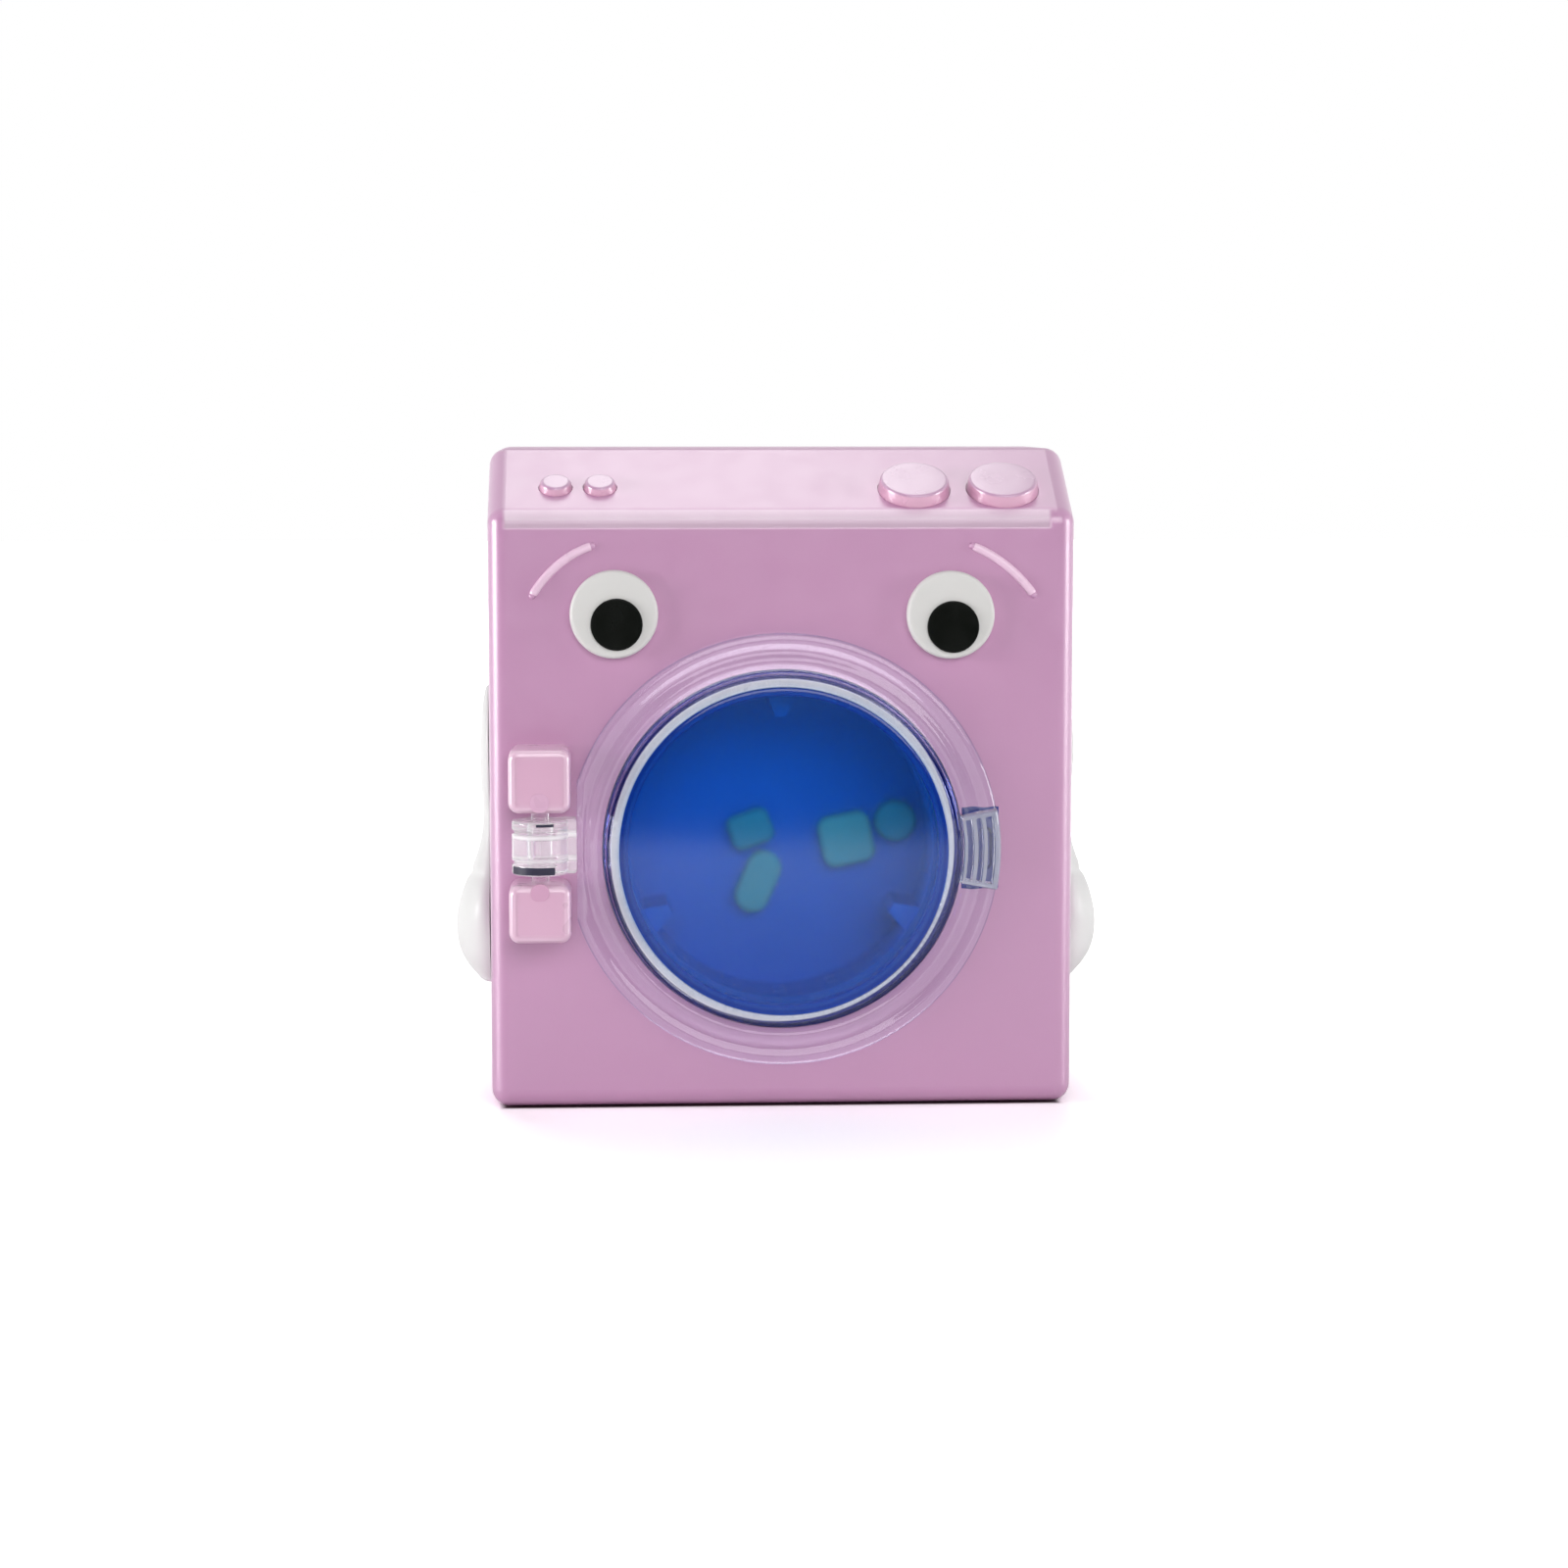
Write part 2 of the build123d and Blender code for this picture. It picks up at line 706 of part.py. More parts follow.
with BuildPart() as battery_links:
    with BuildSketch(Plane.YZ.offset(-tray_half)):
        with Locations((cell_y, tray_middle)):
            Rectangle(2 * cell_radius, tray_high - tray_low - 2 * cell_clearance)
    extrude(amount=contact_thickness)
save(battery_links, "battery_links")

with BuildPart() as battery_contacts:
    for height in cell_heights:
        with BuildSketch(Plane.YZ.offset(tray_half - contact_thickness)):
            with Locations((cell_y, height)):
                Rectangle(2 * cell_radius, 2 * cell_radius)
        extrude(amount=contact_thickness)
        with BuildSketch(Plane.YZ.offset(tray_half - contact_thickness)):
            with Locations((cell_y, height)):
                Circle(contact_spring_radii[0])
        with BuildSketch(Plane.YZ.offset(tray_half - contact_thickness - contact_spring_length)):
            with Locations((cell_y, height)):
                Circle(contact_spring_radii[1])
        loft()
save(battery_contacts, "battery_contacts")

with BuildPart() as speaker:
    with BuildSketch(slab_plane(split_y)):
        with Locations((speaker_x, speaker_z)):
            Circle(speaker_radius)
    extrude(amount=speaker_thickness / 2)
    with BuildSketch(slab_plane(split_y - speaker_thickness / 2)):
        with Locations((speaker_x, speaker_z)):
            Circle(speaker_magnet_radius)
    extrude(amount=speaker_thickness / 2)
save(speaker, "speaker")

# Tub: collar through the front opening, flange on the bosses, back wall with posts
with BuildPart() as tub:
    add(
        ring(
            (
                (tub_inner_radius, front_y),
                (collar_radius, front_y),
                (collar_radius, flange_front_y),
                (tub_flange_radius, flange_front_y),
                (tub_flange_radius, flange_back_y),
                (collar_radius, flange_back_y),
                (collar_radius, tub_back_y),
                (0, tub_back_y),
                (0, tub_floor_y),
                (tub_inner_radius, tub_floor_y),
            )
        )
    )
    with BuildSketch(slab_plane(gear_cover_y)):
        with Locations((0, drum_z)):
            with Locations(*gear_post_spots):
                Circle(gear_post_radius)
    extrude(amount=gear_cover_y - tub_back_y)
    with BuildSketch(slab_plane(tub_back_y)):
        with Locations((0, drum_z)):
            Circle(shaft_radius + bush_wall)
    extrude(amount=tub_back_thickness, mode=Mode.SUBTRACT)
    with BuildSketch(slab_plane(tub_back_y)):
        with Locations((0, idler_z)):
            Circle(idler_pin_radius)
    extrude(amount=idler_pin_in_tub, mode=Mode.SUBTRACT)
    with BuildSketch(slab_plane(gear_cover_y)):
        with Locations((0, drum_z)):
            with Locations(*gear_post_spots):
                Circle(tub_screw_radius + screw_clearance)
    extrude(amount=gear_post_screw_length, mode=Mode.SUBTRACT)
    with BuildSketch(slab_plane(flange_back_y)):
        with Locations(*tub_screw_spots):
            Circle(tub_screw_radius + screw_clearance)
    extrude(amount=tub_flange_thickness, mode=Mode.SUBTRACT)
save(tub, "tub")

tub_screws = screw(
    Plane(origin=(0, flange_back_y, 0), x_dir=(1, 0, 0), z_dir=(0, 1, 0)),
    [(x, -z) for x, z in tub_screw_spots],
    tub_screw_radius,
    tub_screw_length,
    tub_screw_head_radius,
    tub_screw_head_height,
)
save(tub_screws, "tub_screws")

# Drum: a perforated cup with its mouth to the front and lifters inside
drum_floor_y = drum_back_y - drum_back_thickness
with BuildPart() as drum:
    add(
        ring(
            (
                (drum_inner_radius, drum_rim_y),
                (drum_radius, drum_rim_y),
                (drum_radius, drum_back_y),
                (0, drum_back_y),
                (0, drum_floor_y),
                (drum_inner_radius, drum_floor_y),
            )
        )
    )
    with BuildSketch(slab_plane(drum_floor_y)):
        with Locations((0, drum_z)):
            with PolarLocations(drum_inner_radius - lifter_height / 2, lifter_count, start_angle=90):
                Trapezoid(lifter_height + drum_wall, lifter_width, lifter_side_angle, rotation=90)
        with Locations((0, drum_z)):
            Circle(drum_radius - drum_wall / 2, mode=Mode.INTERSECT)
    extrude(amount=drum_floor_y - drum_rim_y - drum_wall)
    for depth in drum_hole_rows:
        for index in range(drum_holes_round):
            angle = radians((index + 0.5) * 360 / drum_holes_round)
            outward = (cos(angle), 0, sin(angle))
            hole_plane = Plane(origin=(0, drum_rim_y + depth, drum_z), x_dir=(0, 1, 0), z_dir=outward)
            lifter_step = 360 / lifter_count
            to_lifter = (degrees(angle) - 90 + lifter_step / 2) % lifter_step - lifter_step / 2
            if abs(to_lifter) > lifter_clear_angle:
                with BuildSketch(hole_plane.offset(drum_inner_radius - drum_wall)):
                    Circle(drum_hole_radius)
                extrude(amount=3 * drum_wall, mode=Mode.SUBTRACT)
    with BuildSketch(slab_plane(drum_back_y)):
        with Locations((0, drum_z)):
            Circle(shaft_radius)
    extrude(amount=shaft_in_drum, mode=Mode.SUBTRACT)
save(drum, "drum")

# Laundry: small soft-edged mouldings glued to the drum's back
laundry_plane = slab_plane(drum_floor_y)
sleeve_x = drum_inner_radius - sleeve_to_wall - sleeve_radius
shirt_x = sleeve_x - sleeve_radius - shirt_to_sleeve - shirt_size[0] / 2


def laundry_piece(name, draw):
    """A flat moulded garment with rounded edges, drawn about the drum's centre."""
    with BuildPart() as garment:
        with BuildSketch(laundry_plane):
            with Locations((0, drum_z)):
                draw()
        extrude(amount=laundry_thickness)
        fillet(garment.faces().sort_by(Axis.Y)[0].edges(), radius=laundry_round)
    save(garment, name)


def sock_top():
    """Square cuff of a folded sock."""
    with Locations(Location(sock_cuff_spot, sock_cuff_turn)):
        RectangleRounded(*sock_cuff_size)


def sock_foot():
    """Round foot of the folded sock, hanging from the cuff."""
    with Locations(Location(sock_foot_spot, sock_foot_turn)):
        SlotOverall(*sock_foot_size)


def shirt_body():
    """Folded shirt, a wedge with soft corners."""
    with Locations(Location((shirt_x, shirt_height), shirt_turn)):
        RectangleRounded(*shirt_size)


def shirt_sleeve():
    """Rolled sleeve beside the shirt."""
    with Locations((sleeve_x, sleeve_height)):
        Circle(sleeve_radius)


laundry_piece("laundry_sock_cuff", sock_top)
laundry_piece("laundry_sock_foot", sock_foot)
laundry_piece("laundry_shirt", shirt_body)
laundry_piece("laundry_sleeve", shirt_sleeve)

# Shaft and its bushes
rear_bush_front = gear_cover_y - bush_flange_thickness
shaft_end_y = gear_cover_back_y + end_play
with BuildPart() as drum_shaft:
    with BuildSketch(slab_plane(shaft_end_y)):
        with Locations((0, drum_z)):
            Circle(shaft_radius)
    extrude(amount=shaft_end_y - (drum_back_y - shaft_in_drum))
save(drum_shaft, "drum_shaft")

bush_outer = shaft_radius + bush_wall
bush_inner = shaft_radius + running_clearance
with BuildPart() as bush_front:
    add(ring(ring_box(bush_inner, bush_outer, tub_floor_y, tub_back_y)))
    add(
        ring(
            ring_box(
                bush_inner, bush_outer + bush_flange_width, tub_back_y, tub_back_y + bush_flange_thickness
            )
        )
    )
save(bush_front, "bush_front")

with BuildPart() as bush_rear:
    add(ring(ring_box(bush_inner, bush_outer, gear_cover_y, gear_cover_back_y)))
    add(ring(ring_box(bush_inner, bush_outer + bush_flange_width, rear_bush_front, gear_cover_y)))
save(bush_rear, "bush_rear")

# Gears: the drum's wheel, the double idler and the motor's pinion
with BuildPart() as drum_gear:
    with BuildSketch(slab_plane(slow_back_y)):
        gear_face(drum_z, drum_gear_teeth, drum_gear_module, tooth_angle=90)
    extrude(amount=slow_gear_width)
    hub_front = tub_back_y + bush_flange_thickness + end_play
    hub_back = rear_bush_front - end_play
    with BuildSketch(slab_plane(hub_back)):
        with Locations((0, drum_z)):
            Circle(gear_hub_radius)
    extrude(amount=hub_back - hub_front)
    with BuildSketch(slab_plane(hub_back)):
        with Locations((0, drum_z)):
            Circle(shaft_radius)
    extrude(amount=hub_back - hub_front, mode=Mode.SUBTRACT)
save(drum_gear, "drum_gear")

idler_front = tub_back_y + end_play
idler_back = gear_cover_y - end_play
with BuildPart() as idler_gear:
    with BuildSketch(slab_plane(fast_front_y)):
        gear_face(idler_z, pinion_teeth, drum_gear_module, gap_angle=-90)
    extrude(amount=fast_front_y - slow_front_y)
    with BuildSketch(slab_plane(fast_back_y)):
        gear_face(idler_z, idler_wheel_teeth, idler_wheel_module, tooth_angle=90)
    extrude(amount=fast_gear_width)
    with BuildSketch(slab_plane(idler_back)):
        with Locations((0, idler_z)):
            Circle(slow_pinion_radius - gear_dedendum * drum_gear_module)
    extrude(amount=idler_back - idler_front)
    with BuildSketch(slab_plane(idler_back)):
        with Locations((0, idler_z)):
            Circle(idler_pin_radius + running_clearance)
    extrude(amount=idler_back - idler_front, mode=Mode.SUBTRACT)
save(idler_gear, "idler_gear")

with BuildPart() as idler_pin:
    with BuildSketch(slab_plane(gear_cover_back_y)):
        with Locations((0, idler_z)):
            Circle(idler_pin_radius)
    extrude(amount=gear_cover_back_y - tub_back_y + idler_pin_in_tub)
save(idler_pin, "idler_pin")

with BuildPart() as motor_pinion:
    with BuildSketch(slab_plane(fast_back_y)):
        gear_face(motor_z, pinion_teeth, idler_wheel_module, gap_angle=-90)
    extrude(amount=fast_gear_width)
    with BuildSketch(slab_plane(fast_back_y)):
        with Locations((0, motor_z)):
            Circle(motor_shaft_radius)
    extrude(amount=fast_gear_width, mode=Mode.SUBTRACT)
save(motor_pinion, "motor_pinion")

motor_back_y = min(gear_cover_back_y + motor_length, split_y - motor_back_gap)
with BuildPart() as motor:
    with BuildSketch(slab_plane(motor_back_y)):
        with Locations((0, motor_z)):
            Circle(motor_radius)
    extrude(amount=motor_back_y - gear_cover_back_y)
    with BuildSketch(slab_plane(gear_cover_back_y)):
        with Locations((0, motor_z)):
            Circle(motor_nose_radius)
    extrude(amount=motor_nose_length)
    with BuildSketch(slab_plane(gear_cover_back_y + motor_shaft_in_body)):
        with Locations((0, motor_z)):
            Circle(motor_shaft_radius + running_clearance)
    extrude(amount=motor_shaft_in_body + motor_nose_length, mode=Mode.SUBTRACT)
save(motor, "motor")

with BuildPart() as motor_shaft:
    with BuildSketch(slab_plane(gear_cover_back_y + motor_shaft_in_body - end_play)):
        with Locations((0, motor_z)):
            Circle(motor_shaft_radius)
    extrude(amount=gear_cover_back_y + motor_shaft_in_body - end_play - fast_front_y)
save(motor_shaft, "motor_shaft")

gear_cover_high = motor_z + motor_radius + motor_collar_wall + gear_cover_margin
gear_cover_half_width = gear_post_lower[0] + gear_post_radius + gear_cover_side
gear_cover_low = drum_z - gear_cover_below
with BuildPart() as gear_cover:
    with BuildSketch(slab_plane(gear_cover_back_y)):
        with Locations((0, (gear_cover_low + gear_cover_high) / 2)):
            RectangleRounded(2 * gear_cover_half_width, gear_cover_high - gear_cover_low, gear_post_radius)
    extrude(amount=gear_cover_thickness)
    with BuildSketch(slab_plane(gear_cover_back_y + motor_collar_length)):
        with Locations((0, motor_z)):
            Circle(motor_radius + motor_fit + motor_collar_wall)
            Circle(motor_radius + motor_fit, mode=Mode.SUBTRACT)
    extrude(amount=motor_collar_length)
    with BuildSketch(slab_plane(gear_cover_back_y)):
        with Locations((0, drum_z)):
            Circle(bush_outer)
            with Locations(*gear_post_spots):
                Circle(tub_screw_radius + screw_clearance)
        with Locations((0, idler_z)):
            Circle(idler_pin_radius)
        with Locations((0, motor_z)):
            Circle(motor_nose_radius + motor_fit)
    extrude(amount=gear_cover_thickness, mode=Mode.SUBTRACT)
save(gear_cover, "gear_cover")

gear_cover_screws = screw(
    Plane(origin=(0, gear_cover_back_y, 0), x_dir=(1, 0, 0), z_dir=(0, 1, 0)),
    [(x, -z - drum_z) for x, z in gear_post_spots],
    tub_screw_radius,
    gear_post_screw_length,
    tub_screw_head_radius,
    tub_screw_head_height,
)
save(gear_cover_screws, "gear_cover_screws")

# Door ring: flange, raised rim, hinge neck and knuckle, ribbed grip with a snap bead behind
rim_bore = rim_foot_radius - rim_wall
knuckle_middle = (knuckle_low + knuckle_high) / 2
rim_top = rim_foot_radius - rim_draft
with BuildPart() as door_ring:
    add(
        ring(
            (
                (rim_bore, flange_back),
                (flange_radius, flange_back),
                (flange_radius, flange_front - bead_height),
                (flange_radius - bead_width, flange_front - bead_height),
                (flange_radius - bead_width, flange_front),
                (ridge_radius_out, flange_front),
                (ridge_radius_out - ridge_height, flange_front - ridge_height),
                (ridge_radius_in + ridge_height, flange_front - ridge_height),
                (ridge_radius_in, flange_front),
                (rim_foot_radius, flange_front),
                (rim_top, rim_front + rim_corner),
                (rim_top - rim_corner, rim_front),
                (window_bore, rim_front),
                (window_bore, rim_front + rim_roof),
                (rim_bore, rim_front + rim_roof),
            )
        )
    )
    # Grip block with grooves that follow the rim
    grip_front = flange_front - grip_height
    add(
        ring(
            ring_box(grip_inner_radius, flange_radius, grip_front, flange_front),
            arc=grip_angle,
            start=grip_angle / 2,
        )
    )
    for inner, outer in grip_grooves:
        add(
            ring(
                ring_box(
                    grip_inner_radius + inner,
                    grip_inner_radius + outer,
                    grip_front,
                    grip_front + grip_groove_depth,
                ),
                arc=grip_angle - 2 * grip_end_wall,
                start=grip_angle / 2 - grip_end_wall,
            ),
            mode=Mode.SUBTRACT,
        )
    with BuildSketch(slab_plane(flange_back)):
        with Locations(keeper_spot):
            SlotOverall(snap_bead_length, 2 * snap_bead_radius, rotation=90)
    extrude(amount=-(flange_gap + keeper_depth / 2))
    # Flat beside the lugs, then the neck and the knuckle
    with BuildSketch(slab_plane(flange_back)):
        with Locations((-(flange_flat + flange_radius) / 2, drum_z)):
            Rectangle(flange_radius - flange_flat, 2 * flange_radius)
    extrude(amount=flange_thickness + bead_height, mode=Mode.SUBTRACT)
    with BuildSketch(slab_plane(flange_back)):
        with Locations(((pin_x - flange_flat + neck_overlap) / 2, knuckle_middle)):
            Rectangle(-pin_x - flange_flat + neck_overlap, knuckle_high - knuckle_low - 2 * neck_step)
    extrude(amount=neck_thickness)
    with BuildSketch(Plane.XY.offset(knuckle_low)):
        with Locations((pin_x, pin_y)):
            Circle(knuckle_radius)
    extrude(amount=knuckle_high - knuckle_low)
    for groove_low in (
        knuckle_low + knuckle_groove_inset,
        knuckle_high - knuckle_groove_inset - knuckle_groove_height,
    ):
        with BuildSketch(Plane.XY.offset(groove_low)):
            with Locations((pin_x, pin_y)):
                Circle(knuckle_radius)
                Circle(knuckle_radius - knuckle_groove_depth, mode=Mode.SUBTRACT)
        extrude(amount=knuckle_groove_height, mode=Mode.SUBTRACT)
    with BuildSketch(slab_plane(pin_y - knuckle_radius + knuckle_pocket_depth)):
        with Locations((pin_x + knuckle_pocket_shift, knuckle_middle)):
            Rectangle(knuckle_pocket_width, knuckle_pocket_height)
    extrude(amount=knuckle_pocket_depth, mode=Mode.SUBTRACT)
    with BuildSketch(Plane.XY.offset(knuckle_low)):
        with Locations((pin_x, pin_y)):
            Circle(pin_radius)
    extrude(amount=knuckle_high - knuckle_low, mode=Mode.SUBTRACT)
save(door_ring, "door_ring")

# Window: a shallow dome whose edge sits inside the rim
dome_radius = (window_radius**2 + window_bulge**2) / (2 * window_bulge)


def dome_depth(radius, crown_y):
    """Depth of the dome's surface at a distance from the axis, for a crown at crown_y."""
    return crown_y + dome_radius - (dome_radius**2 - radius**2) ** 0.5


crown_front = rim_front - window_bulge
crown_back = crown_front + window_thickness
window_back = rim_front + window_thickness
with BuildPart() as door_window:
    with BuildSketch(radial_plane()):
        with BuildLine():
            ThreePointArc(
                (0, crown_front),
                (window_radius / 2, dome_depth(window_radius / 2, crown_front)),
                (window_radius, rim_front),
            )
            Line((window_radius, rim_front), (window_radius, window_back))
            ThreePointArc(
                (window_radius, window_back),
                (window_radius / 2, dome_depth(window_radius / 2, crown_back)),
                (0, crown_back),
            )
            Line((0, crown_back), (0, crown_front))
        make_face()
    revolve(axis=drum_axis)
save(door_window, "door_window")

with BuildPart() as window_seal:
    add(
        ring(
            (
                (window_bore, rim_front + rim_roof),
                (rim_bore - window_clearance, rim_front + rim_roof),
                (rim_bore - window_clearance, flange_back),
                (window_radius - seal_ledge, flange_back),
                (window_radius - seal_ledge, window_back),
                (window_bore, window_back),
            )
        )
    )
save(window_seal, "window_seal")

# Hinge pin and the two lugs that hold it
lower_lug_top = knuckle_low - lug_gap
upper_lug_bottom = knuckle_high + lug_gap
pin_low = lower_lug_top - pin_lower_hold
pin_high = upper_lug_bottom + pin_upper_hold
with BuildPart() as hinge_pin:
    with BuildSketch(Plane.XY.offset(pin_low)):
        with Locations((pin_x, pin_y)):
            Circle(pin_radius)
    extrude(amount=pin_high - pin_low)
save(hinge_pin, "hinge_pin")


def hinge_lug(name, low, high, socket_low, socket_high):
    """Rounded block on the front with a blind socket for the pin."""
    with BuildPart() as lug:
        with BuildSketch(slab_plane(front_y)):
            with Locations((pin_x, (low + high) / 2)):
                Rectangle(lug_width, high - low)
        extrude(amount=lug_depth)
        upright = lug.edges().filter_by(Axis.Z).group_by(Axis.Y)[0]
        fillet(upright, radius=lug_side_radius)
        front_face = lug.faces().sort_by(Axis.Y)[0]
        fillet(front_face.edges().filter_by(Axis.X), radius=lug_edge_radius)
        with BuildSketch(Plane.XY.offset(socket_low)):
            with Locations((pin_x, pin_y)):
                Circle(pin_radius + pin_clearance)
        extrude(amount=socket_high - socket_low, mode=Mode.SUBTRACT)
    save(lug, name)


lower_lug_bottom = lower_lug_top - lower_lug_height
upper_lug_top = upper_lug_bottom + upper_lug_height
hinge_lug("hinge_lug_lower", lower_lug_bottom, lower_lug_top, pin_low - end_play, lower_lug_top)
hinge_lug("hinge_lug_upper", upper_lug_bottom, upper_lug_top, upper_lug_bottom, pin_high + end_play)

# Latch keeper: plate in the front with a recess for the grip's snap bead
with BuildPart() as latch_keeper:
    with BuildSketch(slab_plane(front_y)):
        with Locations(keeper_spot):
            Rectangle(keeper_width, keeper_height)
    extrude(amount=-keeper_depth)
    with BuildSketch(slab_plane(front_y)):
        with Locations(keeper_spot):
            SlotOverall(
                snap_bead_length + 2 * snap_bead_clearance,
                2 * (snap_bead_radius + snap_bead_clearance),
                rotation=90,
            )
    extrude(amount=-(keeper_depth / 2 + snap_bead_clearance / 2), mode=Mode.SUBTRACT)
save(latch_keeper, "latch_keeper")

# Eyes and pupils: thick discs with soft edges, each eye on a peg in the front
for side, spot in eyes.items():
    with BuildPart() as eye:
        with BuildSketch(slab_plane(front_y)):
            with Locations(spot):
                Circle(eye_radius)
        extrude(amount=eye_thickness)
        fillet(eye.faces().sort_by(Axis.Y)[0].edges(), radius=eye_edge_radius)
        with BuildSketch(slab_plane(front_y)):
            with Locations(spot):
                Circle(eye_peg_radius)
        extrude(amount=-wall)
    save(eye, f"eye_{side}")

for side, shift in (("left", left_pupil_shift), ("right", right_pupil_shift)):
    spot = (eyes[side][0] + shift[0], eyes[side][1] + shift[1])
    with BuildPart() as pupil:
        with BuildSketch(slab_plane(front_y - eye_thickness)):
            with Locations(spot):
                Circle(pupil_radius)
        extrude(amount=pupil_thickness)
        fillet(pupil.faces().sort_by(Axis.Y)[0].edges(), radius=pupil_edge_radius)
    save(pupil, f"pupil_{side}")

# Buttons: a tapered cap, retaining ears under the panel and a stem above its dome
stem_end = -board_drop + pad_thickness + dome_height + dome_gap
cap_bottom = -(wall + button_flange_gap)
ear_bottom = cap_bottom - button_flange_thickness
for name, (spot, radius, rise) in buttons.items():
    with BuildPart() as button:
        with BuildSketch(panel_plane.offset(cap_bottom)):
            with Locations(spot):
                Circle(radius)
        extrude(amount=-cap_bottom)
        with BuildSketch(panel_plane):
            with Locations(spot):
                Circle(radius)
        with BuildSketch(panel_plane.offset(rise)):
            with Locations(spot):
                Circle(radius - button_taper)
        loft()
        flat_faces = button.faces().filter_by(GeomType.PLANE)
        top_face = flat_faces.sort_by(Axis(panel_plane.origin, panel_plane.z_dir))[-1]
        fillet(top_face.edges(), radius=button_edge_radius)
        with BuildSketch(panel_plane.offset(ear_bottom)):
            with Locations(spot):
                Circle(radius + button_ear)
                Rectangle(2 * (radius + button_ear), 2 * (radius - button_flat), mode=Mode.INTERSECT)
        extrude(amount=button_flange_thickness)
        with BuildSketch(panel_plane.offset(stem_end)):
            with Locations(spot):
                Circle(button_stem_radius)
        extrude(amount=ear_bottom - stem_end)
    save(button, name)

# Key pad with its domes, and the board it lies on
pad_middle = (board_low + board_high) / 2
with BuildPart() as key_pad:
    with BuildSketch(panel_plane.offset(-board_drop)):
        with Locations((0, pad_middle)):
            Rectangle(2 * (board_half_width - pad_margin), board_high - board_low - 2 * pad_margin)
        with Locations(*board_post_spots):
            Circle(board_post_radius + board_post_clearance, mode=Mode.SUBTRACT)
    extrude(amount=pad_thickness)
    for spot, radius, rise in buttons.values():
        with BuildSketch(panel_plane.offset(-board_drop + pad_thickness)):
            with Locations(spot):
                Circle(dome_radii[0])
        with BuildSketch(panel_plane.offset(-board_drop + pad_thickness + dome_height)):
            with Locations(spot):
                Circle(dome_radii[1])
        loft()
save(key_pad, "key_pad")

with BuildPart() as switch_board:
    with BuildSketch(panel_plane.offset(-board_drop)):
        with Locations((0, pad_middle)):
            Rectangle(2 * board_half_width, board_high - board_low)
        with Locations(*board_post_spots):
            Circle(tub_screw_radius + screw_clearance, mode=Mode.SUBTRACT)
    extrude(amount=-board_thickness)
save(switch_board, "switch_board")

board_screws = screw(
    Plane(
        origin=(panel_plane.offset(-board_drop - board_thickness)).origin,
        x_dir=(1, 0, 0),
        z_dir=-panel_plane.z_dir,
    ),
    [(across, -up) for across, up in board_post_spots],
    tub_screw_radius,
    board_screw_length,
    tub_screw_head_radius,
    tub_screw_head_height,
)
save(board_screws, "board_screws")

# Arms: round shoulder, narrow elbow and mitten hand in one moulding, on a peg through the side wall
arm_inner_x = half_width + arm_gap
peg_end_x = half_width - wall - arm_clip_gap - arm_clip_thickness - arm_peg_tail
with BuildPart() as arm_right:
    for height, breadth, proud in arm_sections:
        with BuildSketch(Plane.XY.offset(shoulder_z + height)):
            with BuildLine():
                ThreePointArc(
                    (arm_inner_x, shoulder_y - breadth),
                    (arm_inner_x + proud, shoulder_y),
                    (arm_inner_x, shoulder_y + breadth),
                )
                Line((arm_inner_x, shoulder_y + breadth), (arm_inner_x, shoulder_y - breadth))
            make_face()
    loft()
    with BuildSketch(Plane.YZ.offset(peg_end_x)):
        with Locations((shoulder_y, shoulder_z)):
            Circle(arm_peg_radius)
    extrude(amount=arm_inner_x - peg_end_x)
save(arm_right, "arm_right")

with BuildPart() as arm_left:
    mirror(arm_right.part, about=Plane.YZ)
save(arm_left, "arm_left")

clip_outer_x = half_width - wall - arm_clip_gap
with BuildPart() as arm_clip_right:
    with BuildSketch(Plane.YZ.offset(clip_outer_x - arm_clip_thickness)):
        with Locations((shoulder_y, shoulder_z)):
            Circle(arm_clip_radius)
            Circle(arm_peg_radius, mode=Mode.SUBTRACT)
    extrude(amount=arm_clip_thickness)
save(arm_clip_right, "arm_clip_right")

with BuildPart() as arm_clip_left:
    mirror(arm_clip_right.part, about=Plane.YZ)
save(arm_clip_left, "arm_clip_left")
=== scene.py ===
"""Looks of the toy washing machine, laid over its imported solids. Metres, +Z up, front towards -Y."""

from math import radians

import bmesh
import bpy
import numpy as np
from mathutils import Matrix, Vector


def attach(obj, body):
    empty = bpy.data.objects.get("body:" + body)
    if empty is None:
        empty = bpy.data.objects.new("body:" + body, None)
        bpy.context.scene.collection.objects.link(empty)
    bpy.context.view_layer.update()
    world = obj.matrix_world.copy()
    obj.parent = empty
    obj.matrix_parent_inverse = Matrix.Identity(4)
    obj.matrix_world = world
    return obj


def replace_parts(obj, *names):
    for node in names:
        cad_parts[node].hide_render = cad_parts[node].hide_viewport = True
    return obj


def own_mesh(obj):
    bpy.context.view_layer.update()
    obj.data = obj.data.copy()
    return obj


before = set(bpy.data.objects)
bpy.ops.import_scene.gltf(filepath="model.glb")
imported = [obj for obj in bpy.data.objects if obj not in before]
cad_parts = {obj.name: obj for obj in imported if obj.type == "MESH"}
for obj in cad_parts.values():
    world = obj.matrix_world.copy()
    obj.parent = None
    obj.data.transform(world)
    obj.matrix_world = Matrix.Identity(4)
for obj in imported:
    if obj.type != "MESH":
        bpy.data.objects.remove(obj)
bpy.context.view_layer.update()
mm = 0.001

# The photograph's view
# A long lens stands half a metre in front of the toy, a little left of its middle and just above its top,
# and looks slightly down at the middle of the cabinet.
camera_place = Vector((-29.10, -564.75, 107.33)) * mm
camera_aim = Vector((0.19, -24.0, 50.41)) * mm
sensor_width = 36.0
focal_length = 81.36

